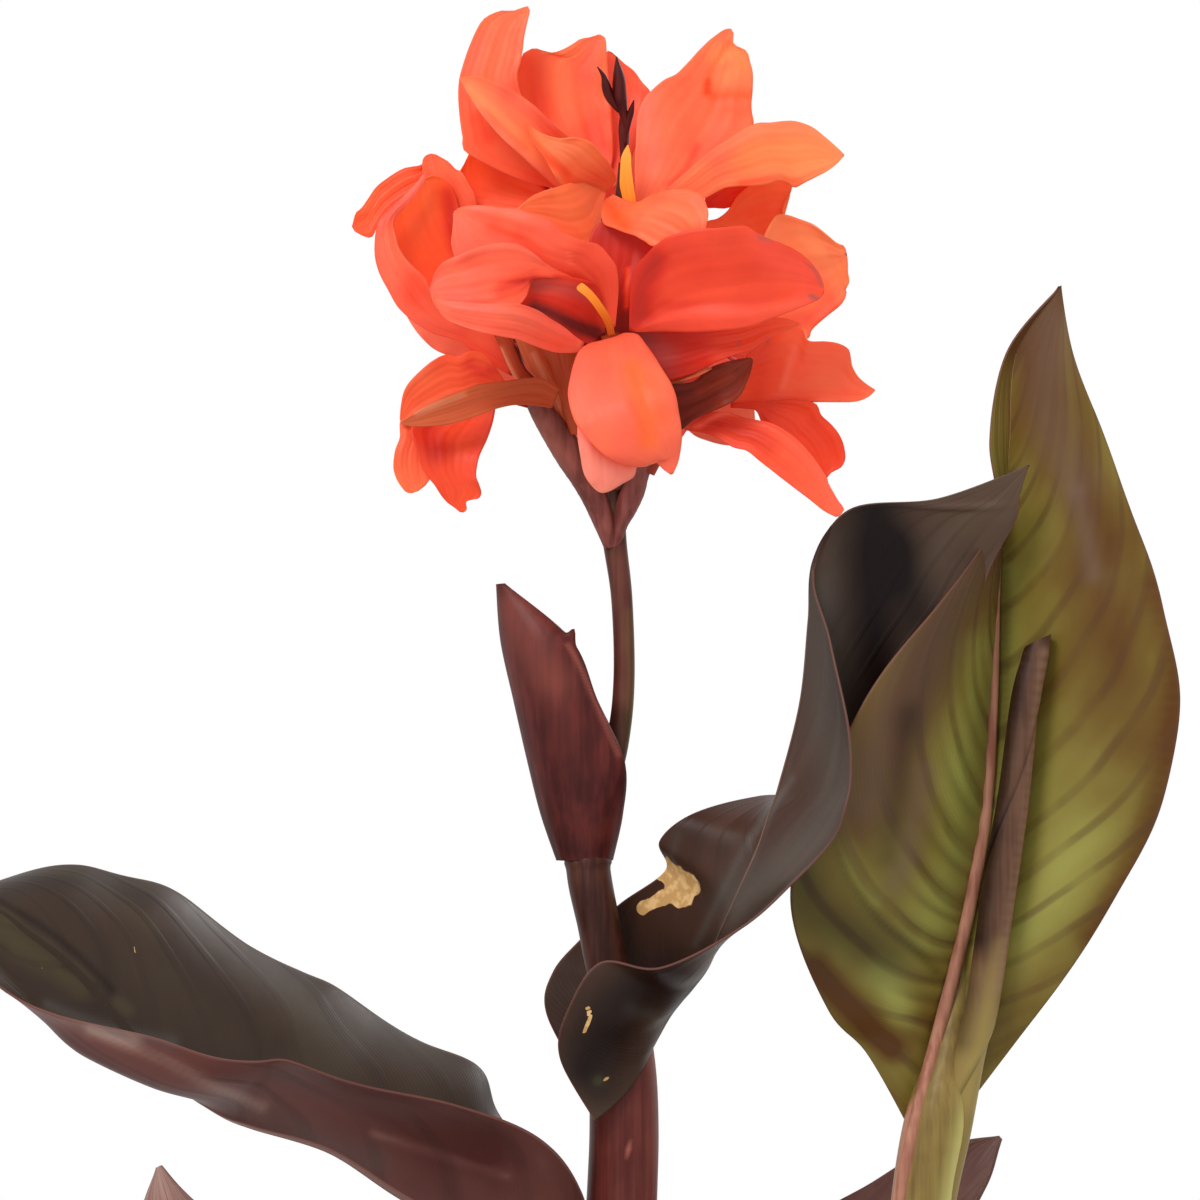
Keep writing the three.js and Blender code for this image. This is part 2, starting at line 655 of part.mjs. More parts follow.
function pot() {
  const { height, baseRadius, rimRadius, wall, floor, rimDrop } = POT;
  const shoulder = height - rimDrop;
  return turned(
    [
      [0, 0],
      [baseRadius - 4, 0],
      [baseRadius, 4],
      [wallRadius(shoulder), shoulder],
      [rimRadius, shoulder + 1.5],
      [rimRadius, height - 2],
      [rimRadius - 1.5, height],
      [rimRadius - wall - 1, height],
      [rimRadius - wall - 2, height - 2],
      [wallRadius(shoulder) - wall, shoulder - 3],
      [wallRadius(floor) - wall, floor],
      [0, floor],
      [0, 0],
    ],
    POT_SIDES,
  );
}

function soil() {
  const clearance = GAP + 0.2; // more than the gap: the faceted walls lie nearer between their corners
  const inside = (z) => wallRadius(z) - POT.wall - clearance;
  const bottom = POT.floor + GAP;
  const edge = SOIL.top - SOIL.dome;
  const middle = SOIL.top + SOIL.dome;
  return turned(
    [
      [0, bottom],
      [inside(bottom) - 1, bottom],
      [inside(edge), edge],
      [inside(edge) * 0.8, SOIL.top - 1],
      [inside(edge) * 0.4, middle],
      [0, middle],
      [0, bottom],
    ],
    POT_SIDES,
  );
}

// ---------------------------------------------------------------------------------------------
// Assembly

const paint = (color, roughness) => new THREE.MeshStandardMaterial({ color, roughness, metalness: 0 });
const PAINT = {
  pot: paint(0x2f3234, 0.6),
  soil: paint(0x33251b, 1),
  stalk: paint(0x4a2222, 0.5),
  bract: paint(0x5a2228, 0.5),
  bronze: paint(0x40302a, 0.4),
  green: paint(0x6a6a30, 0.45),
  rolled: paint(0x6b4f3a, 0.5),
  petal: paint(0xf2583a, 0.55),
  ovary: paint(0x55202a, 0.6),
  style: paint(0xf0a030, 0.5),
};

const plant = new THREE.Group();
const add = (name, solid, material) => plant.add(meshOf(name, solid, material));

const stalk = (grow) => limb(STALK, CULM.stalkSteps, CULM.sides, grow);
const shoot = (grow) => limb(SHOOT, CULM.shootSteps, CULM.sides, grow);
const rolledLeaf = (grow) => limb(ROLLED_LEAF, 12, 8, grow);

const blades = {
  leaf_twisted: railBlade(TWISTED_LEAF, { rows: 22, columns: 6, rib: 1.2, ripple: 0.6 }),
  leaf_left: railBlade(LEFT_LEAF, { rows: 15, columns: 6, rib: 2.6 }),
};
for (const [name, shape] of Object.entries(ARCHED_LEAVES)) {
  blades[name] = railBlade(archedStations(shape), { rows: 8, columns: 4, rib: 2.4 });
}

// A leaf with its sheath, cut clear of the stem inside it and of the other sheaths.
function sheathedLeaf(name, line, sheaths, core) {
  let leaf = fuse([sleeve(line, sheaths[name]), blades[name]]);
  for (const other of Object.keys(sheaths)) {
    if (other !== name) leaf = leaf.subtract(sleeve(line, sheaths[other], GAP));
  }
  return largest(leaf.subtract(core));
}

for (const name of Object.keys(STALK_SHEATHS)) {
  add(name, sheathedLeaf(name, STALK, STALK_SHEATHS, stalk(GAP)), PAINT.bronze);
}
for (const name of Object.keys(SHOOT_SHEATHS)) {
  add(name, sheathedLeaf(name, SHOOT, SHOOT_SHEATHS, shoot(GAP)), PAINT.bronze);
}

const uprightBlade = railBlade(UPRIGHT_LEAF, { rows: 16, columns: 8, rib: 3.4, ripple: 0.8 });
add("leaf_upright", largest(fuse([shoot(), uprightBlade]).subtract(rolledLeaf(GAP + 0.1))), PAINT.green);
add("leaf_rolled", rolledLeaf(), PAINT.rolled);

add("bract", largest(bract().subtract(stalk(GAP))), PAINT.bract);
add("stalk", fuse([stalk(), ...BUDS.map(bud)]), PAINT.stalk);

for (const [name, flower] of Object.entries(FLOWERS)) {
  const { bloom, style } = bloomOf(flower);
  add("ovary_" + name, largest(ovaryOf(flower).subtract(stalk(GAP))), PAINT.ovary);
  add("bloom_" + name, largest(bloom), PAINT.petal);
  add("style_" + name, style, PAINT.style);
}

add("pot", pot(), PAINT.pot);
const holes = fuse([
  sleeve(STALK, STALK_SHEATHS.leaf_back_left, GAP),
  stalk(GAP),
  sleeve(SHOOT, SHOOT_SHEATHS.leaf_back_right, GAP),
  shoot(GAP),
]);
add("soil", largest(soil().subtract(holes)), PAINT.soil);

export default plant;
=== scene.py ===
# %% [markdown]
# # A canna lily in its pot
# The plant is a bronze-leaved canna. One stalk carries a round head of ruffled orange flowers, and a
# second shoot carries an upright leaf and a young leaf that is still rolled.
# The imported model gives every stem, leaf and flower its place. Here each one is made again with a finer
# mesh and a finish of its own, in the same frame. The file works in millimetres and turns them into
# metres when a piece is placed.

# %% Load the frame
import math

import bpy
import numpy as np
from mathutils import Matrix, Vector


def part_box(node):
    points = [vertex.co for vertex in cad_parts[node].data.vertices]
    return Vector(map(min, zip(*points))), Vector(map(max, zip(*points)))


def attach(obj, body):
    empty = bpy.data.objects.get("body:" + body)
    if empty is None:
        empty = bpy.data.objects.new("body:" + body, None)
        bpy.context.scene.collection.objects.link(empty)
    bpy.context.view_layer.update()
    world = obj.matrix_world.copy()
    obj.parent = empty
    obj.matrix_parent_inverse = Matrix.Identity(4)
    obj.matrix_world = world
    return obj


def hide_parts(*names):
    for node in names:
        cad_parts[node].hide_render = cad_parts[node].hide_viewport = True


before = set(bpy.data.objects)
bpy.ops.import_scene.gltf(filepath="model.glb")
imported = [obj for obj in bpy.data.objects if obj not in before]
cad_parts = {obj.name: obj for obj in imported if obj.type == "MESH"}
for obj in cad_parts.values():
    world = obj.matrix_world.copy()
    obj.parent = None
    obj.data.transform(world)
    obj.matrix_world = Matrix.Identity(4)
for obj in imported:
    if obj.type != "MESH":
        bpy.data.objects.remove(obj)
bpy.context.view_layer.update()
MM = 0.001
print("frame loaded:", len(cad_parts), "nodes")

# %% [markdown]
# ## Stage
# A plant is pictured from straight ahead with a long lens, so the camera stands far off at the height of
# the leaves. An overcast sky gives most of the light. A large lamp from the upper left adds shape, and a
# smaller one from behind draws a thin line of light along the stems. The floor is pale and round, and it
# ends before the lower edge of the view would reach it.

# %% Camera, lamps and floor
EYE = np.array([-45.0, -3000.0, 550.0])  # the camera, looking along +Y
VIEW_WIDTH = 450.0  # what the view takes in at the plant
SENSOR = 36.0
FLOOR_RADIUS = 4.2  # in metres
SKY_LIGHT = 0.82
LAMPS = {
    "key": dict(place=(-1.3, -2.1, 2.7), aim=(-0.04, 0, 0.5), size=1.3, power=52),
    "back": dict(place=(1.5, 1.8, 1.7), aim=(0, 0, 0.5), size=0.9, power=16),
}


def add_camera():
    lens = bpy.data.cameras.new("camera")
    lens.sensor_width = SENSOR
    lens.lens = SENSOR * -EYE[1] / VIEW_WIDTH
    camera = bpy.data.objects.new("camera", lens)
    camera.location = EYE * MM
    camera.rotation_euler = (math.radians(90), 0, 0)
    bpy.context.scene.collection.objects.link(camera)
    bpy.context.scene.camera = camera


def add_lamp(name, place, aim, size, power):
    data = bpy.data.lights.new(name, "AREA")
    data.shape, data.size, data.energy = "DISK", size, power
    lamp = bpy.data.objects.new(name, data)
    lamp.location = place
    toward = np.array(aim) - np.array(place)
    tilt = math.acos(-toward[2] / np.linalg.norm(toward))
    lamp.rotation_euler = (tilt, 0, math.atan2(-toward[0], toward[1]))
    bpy.context.scene.collection.objects.link(lamp)


def add_sky(light):
    """A white sky behind the plant that lights it less strongly than it looks."""
    world = bpy.data.worlds.new("sky")
    world.use_nodes = True
    tree = world.node_tree
    background = tree.nodes["Background"]
    path = tree.nodes.new("ShaderNodeLightPath")
    strength = tree.nodes.new("ShaderNodeMapRange")
    strength.inputs["To Min"].default_value = light
    strength.inputs["To Max"].default_value = 1.0
    tree.links.new(path.outputs["Is Camera Ray"], strength.inputs["Value"])
    tree.links.new(strength.outputs["Result"], background.inputs["Strength"])
    background.inputs["Color"].default_value = (1, 1, 1, 1)
    bpy.context.scene.world = world


add_camera()
add_sky(SKY_LIGHT)
for lamp_name, lamp in LAMPS.items():
    add_lamp(lamp_name, **lamp)
bpy.context.scene.view_settings.view_transform = "Standard"
print("camera lens", bpy.context.scene.camera.data.lens, "mm")

# %% [markdown]
# ## Curves
# A stem, a leaf and a petal all start from a few rows of points. A smooth curve goes through the rows,
# as a bent wire would, and the mesh follows it closely. A petal needs points that are the same distance
# apart, so that its two edges can be joined row by row.

# %% Smooth curves
STRIDE = 0.004  # share of a curve over which its direction is measured


def smooth_rows(table, t):
    """Values between the rows of a table, along a Catmull-Rom curve, at shares t of its length."""
    table = np.asarray(table, float)
    place = np.clip(t, 0, 1) * (len(table) - 1)
    i = np.minimum(place.astype(int), len(table) - 2)
    f = (place - i)[..., None]
    a, b, c, d = (table[np.clip(i + k, 0, len(table) - 1)] for k in (-1, 0, 1, 2))
    return b + 0.5 * f * (c - a + f * (2 * a - 5 * b + 4 * c - d + f * (3 * (b - c) + d - a)))


def even_rows(points, count):
    """count points along the curve through a few points, the same distance apart."""
    fine = smooth_rows(points, np.linspace(0, 1, 20 * len(points)))
    run = np.concatenate([[0], np.cumsum(np.linalg.norm(np.diff(fine, axis=0), axis=1))])
    wanted = np.linspace(0, run[-1], count)
    return np.stack([np.interp(wanted, run, fine[:, k]) for k in range(fine.shape[1])], 1)


def unit(vectors):
    return vectors / np.maximum(np.linalg.norm(vectors, axis=-1, keepdims=True), 1e-9)


def directions(table, t):
    return unit(smooth_rows(table, t + STRIDE)[:, :3] - smooth_rows(table, t - STRIDE)[:, :3])


print("half way along a curve:", smooth_rows([[0, 0], [1, 2], [2, 0]], np.array([0.5])))

# %% [markdown]
# ## Shells
# A shell is a closed surface. A sheet is a grid of points lifted to both sides, so a leaf has a real
# thickness and a rim. A limb is a row of rings, for stems and buds. Each point of a shell also knows how
# far along and across it lies, and which face it is on, because the finishes need that.

# %% Sheets, limbs and turned solids
class Shell:
    """A closed surface in mm, with what its finish wants to know about each point."""

    def __init__(self, points, faces, where, **paint):
        self.points, self.faces, self.where, self.paint = points, faces, where, paint


def sheet(grid, above, below=None):
    """A closed sheet round a grid of points. Its second face is the under side."""
    rows, columns = grid.shape[:2]
    normal = unit(np.cross(np.gradient(grid, axis=1), np.gradient(grid, axis=0)))
    above = np.broadcast_to(above, (rows, columns))[..., None]
    below = above if below is None else np.broadcast_to(below, (rows, columns))[..., None]
    top, bottom = (grid + normal * above).reshape(-1, 3), (grid - normal * below).reshape(-1, 3)
    count = rows * columns
    index = np.arange(count).reshape(rows, columns)
    a, b, c, d = (x.ravel() for x in (index[:-1, :-1], index[:-1, 1:], index[1:, 1:], index[1:, :-1]))
    rim = np.concatenate([index[0, :-1], index[:-1, -1], index[-1, :0:-1], index[:0:-1, 0]])
    ahead = np.roll(rim, -1)
    faces = np.concatenate([
        np.stack([a, b, c, d], 1),
        np.stack([a, d, c, b], 1) + count,
        np.stack([ahead, rim, rim + count, ahead + count], 1),
    ])
    along, across = np.meshgrid(np.linspace(0, 1, rows), np.linspace(0, 1, columns), indexing="ij")
    where = np.stack([along.ravel(), across.ravel()], 1)
    under = np.repeat([0.0, 1.0], count)
    return Shell(np.concatenate([top, bottom]), faces.tolist(), np.concatenate([where, where]), under=under)


def ring_faces(rings, sides):
    """Faces round rings of points, and caps to the two points that follow them."""
    first, last, faces = rings * sides, (rings - 1) * sides, []
    for k in range(sides):
        n = (k + 1) % sides
        faces += [[i * sides + k, i * sides + n, (i + 1) * sides + n, (i + 1) * sides + k] for i in range(rings - 1)]
        faces += [[first, n, k], [first + 1, last + k, last + n]]
    return faces


def limb(table, steps, sides, flutes=0, depth=0.0):
    """A closed round limb along rows of [x, y, z, radius], with shallow flutes if they are asked for."""
    t = np.linspace(0, 1, steps + 1)
    rows = smooth_rows(table, t)
    tangent = directions(table, t)
    flat = abs(rows[-1, 1] - rows[0, 1]) < 0.7 * np.linalg.norm(rows[-1, :3] - rows[0, :3])
    right = unit(np.cross([0, 1, 0] if flat else [1, 0, 0], tangent))
    back = np.cross(tangent, right)
    angle = 2 * np.pi * np.arange(sides) / sides
    out = np.cos(angle)[None, :, None] * right[:, None] + np.sin(angle)[None, :, None] * back[:, None]
    radius = np.maximum(rows[:, None, 3:4], 0.3) * (1 + depth * np.sin(flutes * angle)[None, :, None])
    ring = rows[:, None, :3] + radius * out
    where = np.stack(np.meshgrid(t, np.arange(sides) / sides, indexing="ij"), -1).reshape(-1, 2)
    points = np.concatenate([ring.reshape(-1, 3), rows[:1, :3], rows[-1:, :3]])
    return Shell(points, ring_faces(steps + 1, sides), np.concatenate([where, [[0, 0.5], [1, 0.5]]]))


def lathe(profile, sides):
    """A closed turned solid from [radius, height] points, the first and last on the axis."""
    inner = np.array(profile[1:-1])
    angle = 2 * np.pi * np.arange(sides) / sides
    ring = np.stack([inner[:, :1] * np.cos(angle), inner[:, :1] * np.sin(angle), inner[:, 1:] + 0 * angle], -1)
    points = np.concatenate([ring.reshape(-1, 3), [[0, 0, profile[0][1]], [0, 0, profile[-1][1]]]])
    return Shell(points, ring_faces(len(inner), sides), np.zeros((len(points), 2)))


print("a sheet of 3 by 3 points has", len(sheet(np.random.default_rng(1).random((3, 3, 3)), 0.1).faces), "faces")

# %% [markdown]
# ## Brushes
# A real leaf is greener here and greyer there, and a petal has folds in known places. The quickest way
# to say so is a brush stroke: a few points as they are seen from the front, a width and an amount. A
# stroke can change a colour, and it can also press a fold into a petal.

# %% Strokes as seen from the front
HEAD = np.array([-40.0, 0.0, 662.0])  # the middle of the flower head


def seen_flat(points):
    """x and z of points as the viewer in front sees them, in the plane of the stalk."""
    scale = -EYE[1] / (points[:, 1:2] - EYE[1])
    return (EYE + (points - EYE) * scale)[:, [0, 2]]


def at_depth(flat, depth):
    """The points at their own depth behind the plane of the stalk that are seen at x and z."""
    on_plane = np.stack([flat[:, 0], np.zeros(len(flat)), flat[:, 1]], 1)
    return EYE + (on_plane - EYE) * (np.asarray(depth)[:, None] - EYE[1]) / -EYE[1]


def stroke(flat, points, width):
    """How near each place is to a stroke: 1 on it, fading to 0 past its width."""
    line = even_rows(points, 30) if len(points) > 1 else np.array(points, float)
    gap = np.linalg.norm(flat[:, None] - line[None], axis=2).min(1)
    return np.exp(-((gap / width) ** 2))


def brush(shell, origin=(0, 0), **layers):
    """Paint a shell: each layer is its ground value, then [points, width, amount, half of the sheet] strokes."""
    flat = seen_flat(shell.points) - origin
    half = np.sign(shell.where[:, 1] - 0.5)
    for name, (ground, *strokes) in layers.items():
        value = np.full(len(flat), float(ground))
        for points, width, amount, *only in strokes:
            value += amount * stroke(flat, points, width) * (half == only[0] if only else 1)
        shell.paint[name] = value
    return shell


print("a stroke fades:", stroke(np.array([[0, 0], [0, 1], [0, 3.0]]), [(0, 0), (5, 0)], 1).round(3))

# %% [markdown]
# ## Placing a piece
# A piece joins one or more shells into a single object. It rides on the plant's only body and stands
# for one or more nodes of the imported model.

# %% From shells to a piece
def place_piece(name, shells, finish, slot, *nodes):
    points = np.concatenate([shell.points for shell in shells]) * MM
    starts = np.cumsum([0] + [len(shell.points) for shell in shells])
    faces = [[start + i for i in face] for shell, start in zip(shells, starts) for face in shell.faces]
    mesh = bpy.data.meshes.new(name)
    mesh.from_pydata(points.tolist(), [], faces)
    mesh.polygons.foreach_set("use_smooth", [True] * len(mesh.polygons))
    corners = np.zeros(len(mesh.loops), int)
    mesh.loops.foreach_get("vertex_index", corners)
    where = np.concatenate([shell.where for shell in shells])
    mesh.uv_layers.new(name="Along").data.foreach_set("uv", where[corners].astype(np.float32).ravel())
    for layer in sorted({layer for shell in shells for layer in shell.paint}):
        values = [shell.paint.get(layer, np.zeros(len(shell.points))) for shell in shells]
        layer_data = mesh.attributes.new(layer, "FLOAT", "POINT").data
        layer_data.foreach_set("value", np.concatenate(values).astype(np.float32))
    mesh.materials.append(finish)
    piece = bpy.data.objects.new(name, mesh)
    bpy.context.scene.collection.objects.link(piece)
    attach(piece, "root")
    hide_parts(*nodes)
    return piece


print("camera sees the head's middle at", seen_flat(HEAD[None]))

# %% [markdown]
# ## Finishes
# A finish is a material made of nodes. Its maths is written as plain arithmetic: a wire stands for a
# socket, and adding or multiplying wires adds the Math nodes. Colours are written as a painter reads
# them, from 0 to 255, and turned into the linear values that the renderer wants.

# %% Wires and nodes
def tint(red, green, blue):
    """A colour from 0 to 255 as linear values."""
    shares = (np.array([red, green, blue]) / 255) ** 2.2
    return tuple(shares.tolist())


class Wire:
    """A socket that takes part in arithmetic."""

    def __init__(self, finish, socket):
        self.finish, self.socket = finish, socket

    def maths(self, operation, *values):
        return self.finish.node("ShaderNodeMath", {"operation": operation}, dict(enumerate(values)))

    def __add__(self, other):
        return self.maths("ADD", self, other)

    def __sub__(self, other):
        return self.maths("SUBTRACT", self, other)

    def __mul__(self, other):
        return self.maths("MULTIPLY", self, other)

    def __pow__(self, other):
        return self.maths("POWER", self, other)

    def __rsub__(self, other):
        return self.maths("SUBTRACT", other, self)

    __radd__ = __add__
    __rmul__ = __mul__

    def sine(self):
        return self.maths("SINE", self)

    def size(self):
        return self.maths("ABSOLUTE", self)

    def step(self, low, high):
        """0 below low, 1 above high and smooth between them."""
        sockets = {"Value": self, "From Min": low, "From Max": high}
        return self.finish.node("ShaderNodeMapRange", {"interpolation_type": "SMOOTHSTEP"}, sockets)


class Finish:
    """A material and the few ways in which its nodes are made."""

    def __init__(self, name):
        self.material = bpy.data.materials.new(name)
        self.material.use_nodes = True
        self.tree = self.material.node_tree
        self.tree.nodes.clear()

    def node(self, kind, settings=None, sockets=None, output=0):
        """A node with its settings, then the values or wires of its sockets."""
        made = self.tree.nodes.new(kind)
        for name, value in (settings or {}).items():
            if name == "stops":
                self.set_stops(made.color_ramp, value)
            else:
                setattr(made, name, value)
        for name, value in (sockets or {}).items():
            if isinstance(value, Wire):
                self.tree.links.new(value.socket, made.inputs[name])
            else:
                made.inputs[name].default_value = value
        return Wire(self, made.outputs[output]) if made.outputs else None

    @staticmethod
    def set_stops(ramp, stops):
        while len(ramp.elements) < len(stops):
            ramp.elements.new(1)
        for element, (place, colour) in zip(ramp.elements, stops):
            element.position, element.color = place, (*tint(*colour), 1)

    def along_across(self):
        """How far along (0 to 1) and across (-1 to 1) the sheet a point lies."""
        parts = {"Vector": self.node("ShaderNodeUVMap", {"uv_map": "Along"})}
        along = self.node("ShaderNodeSeparateXYZ", {}, parts, "X")
        return along, self.node("ShaderNodeSeparateXYZ", {}, parts, "Y") * 2 - 1

    def painted(self, layer):
        return self.node("ShaderNodeAttribute", {"attribute_name": layer}, {}, "Fac")

    def place(self, scale=(1, 1, 1)):
        """The point itself, in metres, times a scale for each axis."""
        where = self.node("ShaderNodeTexCoord", {}, {}, "Object")
        return self.node("ShaderNodeMapping", {}, {"Vector": where, "Scale": scale})

    def noise(self, scale, detail=3.0, vector=None):
        sockets = {"Vector": vector or self.place(), "Scale": scale, "Detail": detail}
        return self.node("ShaderNodeTexNoise", {}, sockets, "Fac")

    def pair(self, x, y, z=0.0):
        return self.node("ShaderNodeCombineXYZ", {}, {"X": x, "Y": y, "Z": z})

    def mix(self, share, first, second):
        """The first colour where share is 0 and the second where it is 1."""
        ends = [end if isinstance(end, Wire) else (*tint(*end), 1) for end in (first, second)]
        sockets = {0: share, 6: ends[0], 7: ends[1]}
        return self.node("ShaderNodeMix", {"data_type": "RGBA"}, sockets, 2)

    def ramp(self, value, stops):
        return self.node("ShaderNodeValToRGB", {"stops": stops}, {"Fac": value})

    def bump(self, height, distance, strength=1.0, under=None):
        sockets = {"Height": height, "Distance": distance, "Strength": strength}
        if under is not None:
            sockets["Normal"] = under
        return self.node("ShaderNodeBump", {}, sockets)

    def surface(self, **sockets):
        named = {name.replace("_", " "): value for name, value in sockets.items()}
        shader = self.node("ShaderNodeBsdfPrincipled", {}, named)
        self.node("ShaderNodeOutputMaterial", {}, {"Surface": shader})
        return self.material


print("mid grey is", round(tint(188, 188, 188)[0], 3), "in linear light")

# %% [markdown]
# ### Plain finishes
# The pot is moulded plastic with a fine grain. The soil is dark and crumbly, with paler crumbs. Stems are
# smooth and dark red, with fine streaks along them, and they turn green or salmon where they are painted
# so. On the ovaries the salmon is a painted highlight, and on the bract's top it is a painted pinkish sheen.

# %% Pot, soil and stem finishes
def pot_finish():
    f = Finish("moulded plastic")
    grain = f.noise(900, 2)
    cloud = f.noise(14)
    colour = f.mix(cloud, (42, 44, 46), (58, 60, 62))
    return f.surface(Base_Color=colour, Roughness=cloud * 0.2 + 0.42, Normal=f.bump(grain, 0.0002, 0.5))


def soil_finish():
    f = Finish("potting soil")
    crumbs = f.noise(160, 6)
    clods = f.noise(45, 3)
    colour = f.ramp(crumbs, [(0.3, (22, 17, 13)), (0.55, (48, 36, 27)), (0.8, (96, 78, 62))])
    return f.surface(Base_Color=colour, Roughness=0.95, Normal=f.bump(clods + crumbs, 0.004))


def stem_finish(name, dark, light, roughness=0.4, green=(92, 84, 42), blush=(176, 100, 84), fine=420):
    f = Finish(name)
    streaks = f.noise(1, 4, f.place((fine, fine, fine / 20)))
    blotch = f.noise(60, 2)
    colour = f.mix((streaks * 0.6 + blotch * 0.4).step(0.34, 0.68), dark, light)
    colour = f.mix(f.painted("green"), colour, green)
    # The salmon layer is the shoot's own salmon, and a painted highlight on the ovaries and the bract.
    colour = f.mix(f.painted("salmon"), colour, blush)
    # The dark layer darkens the stem; on the rolled leaf it is painted shade along the lap.
    colour = f.mix(f.painted("dark"), colour, (26, 13, 11))
    return f.surface(Base_Color=colour, Roughness=roughness, Normal=f.bump(streaks, 0.0005, 0.4), Specular_IOR_Level=0.2)


POT = pot_finish()
SOIL = soil_finish()
STALK = stem_finish("stalk", (60, 30, 26), (90, 54, 44))
SHEATH = stem_finish("leaf sheath", (84, 36, 32), (108, 52, 46), 0.4)
BUD = stem_finish("bud", (60, 17, 16), (94, 31, 27), 0.42)
OVARY = stem_finish("ovary", (96, 46, 42), (142, 78, 72), 0.5)
BRACT = stem_finish("bract", (68, 26, 24), (100, 42, 38), 0.45, blush=(162, 88, 76), fine=300)
SHOOT = stem_finish("shoot", (120, 98, 54), (148, 124, 70), 0.42, green=(204, 192, 110), blush=(196, 128, 106))
MIDRIB = stem_finish("midrib", (152, 96, 78), (194, 136, 112), 0.45)
print("plain finishes:", [m.name for m in (POT, SOIL, STALK, SHEATH, BUD, OVARY, BRACT, SHOOT, MIDRIB)])

# %% [markdown]
# ### Leaves
# A canna's side veins leave the midrib at a slant and bend towards the tip. One number counts them: it
# grows along the leaf and shrinks towards the edge, so each line of equal count is a vein. The main veins
# are dark lines, and painted shade darkens the folds of the pleats along them. Very fine veins between
# them carry a faint painted sheen. Brush strokes say where the leaf is green, where it is darkened, mostly
# by painted shade and on one lobe by its own dark brown, and where a painted grey sheen of reflected sky lies.

# %% Leaf finishes
VEIN_START = 0.08
VEIN_BEND = 1.35


def vein_count(along, edge, slant):
    """Counts the veins. It takes numbers and wires alike."""
    return (along + VEIN_START) * (1 - slant * edge ** VEIN_BEND)


def leaf_finish(name, ramp, under, line, cast, midrib, slant, veins, lines=0.4, bands=0.55, roughness=0.4, rib=0.03):
    f = Finish(name)
    along, across = f.along_across()
    edge = across.size()
    lean = across.step(-0.02, 0.02) * (slant[1] - slant[0]) + slant[0]
    count = vein_count(along, edge, lean) + (f.noise(18, 2) - 0.5) * 0.03
    band = f.noise(1, 2, f.pair(count * 0.7 * veins, across * 0.8))
    fine = (count * 1300).sine() * 0.5 + 0.5
    main = (count * 2 * math.pi * veins).sine().step(0.55, 1.0) * (f.noise(40, 2).step(0.35, 0.6) * 0.6 + 0.4)
    cloud = f.noise(26, 3)
    tone = f.painted("green") + (band - 0.5) * bands + (cloud - 0.5) * 0.35
    below = f.ramp(f.painted("pale") + (band - 0.5) * 0.9 + (cloud - 0.5) * 0.4, under)
    colour = f.mix(f.painted("under"), f.ramp(tone, ramp), below)
    # Painted shade in the folds of the pleats, drawn in the vein colour.
    colour = f.mix(main * lines + f.painted("furrow"), colour, line)
    # A painted grey sheen of reflected sky where the strokes lay it, and a faint painted sheen along the fine veins
    # everywhere.
    colour = f.mix(f.painted("cast") * (fine * 0.15 + band * 0.6 + 0.45), colour, cast)
    colour = f.mix(fine * 0.03, colour, cast)
    # Dark strokes: painted shade in the curled pocket, in grooves and under folds, and the leaf's own dark brown on one
    # lobe.
    colour = f.mix(f.painted("dark"), colour, (26, 15, 13))
    colour = f.mix(1 - edge.step(rib * 0.6, rib), colour, f.mix(f.painted("under"), midrib, under[2][1]))
    colour = f.mix(edge.step(0.984, 0.998) * 0.5, colour, (124, 78, 68))
    dry = (f.painted("dry") + (f.noise(220, 2) - 0.5) * 0.5).step(0.42, 0.5)
    colour = f.mix(dry, colour, f.mix(f.noise(300, 3).step(0.4, 0.6), (206, 158, 100), (234, 190, 130)))
    skin = f.bump(fine, 0.0002, 0.1, f.bump(main, 0.0005, 0.2, f.bump(cloud, 0.002, 0.25)))
    gloss = dry * 0.4 + roughness + (cloud - 0.5) * 0.2
    return f.surface(Base_Color=colour, Roughness=gloss, Normal=skin, Specular_IOR_Level=0.18)


BRONZE_UNDER = [(0.0, (84, 44, 40)), (0.35, (106, 63, 58)), (0.65, (134, 94, 86)), (1.0, (164, 132, 122))]
BRONZE = leaf_finish(
    "bronze leaf", [(0.0, (44, 32, 25)), (0.4, (62, 48, 39)), (0.7, (76, 67, 46)), (1.0, (98, 102, 60))],
    BRONZE_UNDER, (48, 36, 31), (92, 86, 82), (58, 47, 37), slant=(0.42, 0.42), veins=12, lines=0.25)
TWISTED_UNDER = [(0.0, (66, 42, 32)), (0.35, (88, 62, 50)), (0.65, (110, 84, 72)), (1.0, (140, 110, 98))]
TWISTED = leaf_finish(
    "twisted bronze leaf", [(0.0, (54, 34, 26)), (0.35, (78, 56, 46)), (0.7, (92, 76, 62)), (1.0, (110, 112, 70))],
    TWISTED_UNDER, (56, 40, 34), (86, 80, 74), (100, 74, 64), slant=(0.55, 0.55), veins=12, lines=0.2, rib=0.012)
GREEN = leaf_finish(
    "green leaf", [(0.0, (90, 56, 22)), (0.3, (108, 85, 36)), (0.6, (136, 125, 60)), (1.0, (160, 160, 82))],
    BRONZE_UNDER, (84, 58, 36), (116, 94, 80), (178, 122, 106), slant=(0.42, 0.34), veins=17, lines=0.5, bands=0.6, rib=0.02)
ROLLED = stem_finish("rolled leaf", (84, 56, 42), (112, 80, 62), 0.45, green=(160, 138, 80), blush=(160, 122, 98))
print("leaf finishes:", [m.name for m in (BRONZE, TWISTED, GREEN, ROLLED)])

# %% [markdown]
# ### Petals
# A petal's inner face is a warm orange and its back is salmon pink, and both deepen to red and then to
# maroon in the throat. Two painted layers steer it: blush goes from orange to pink, and shade goes from
# the lit edge to the throat. Shade is partly the petal's own deeper red at its foot and partly painted
# shade in folds, gaps and the throat. Bruises are small grey-brown marks. Faint veins run from foot to edge.

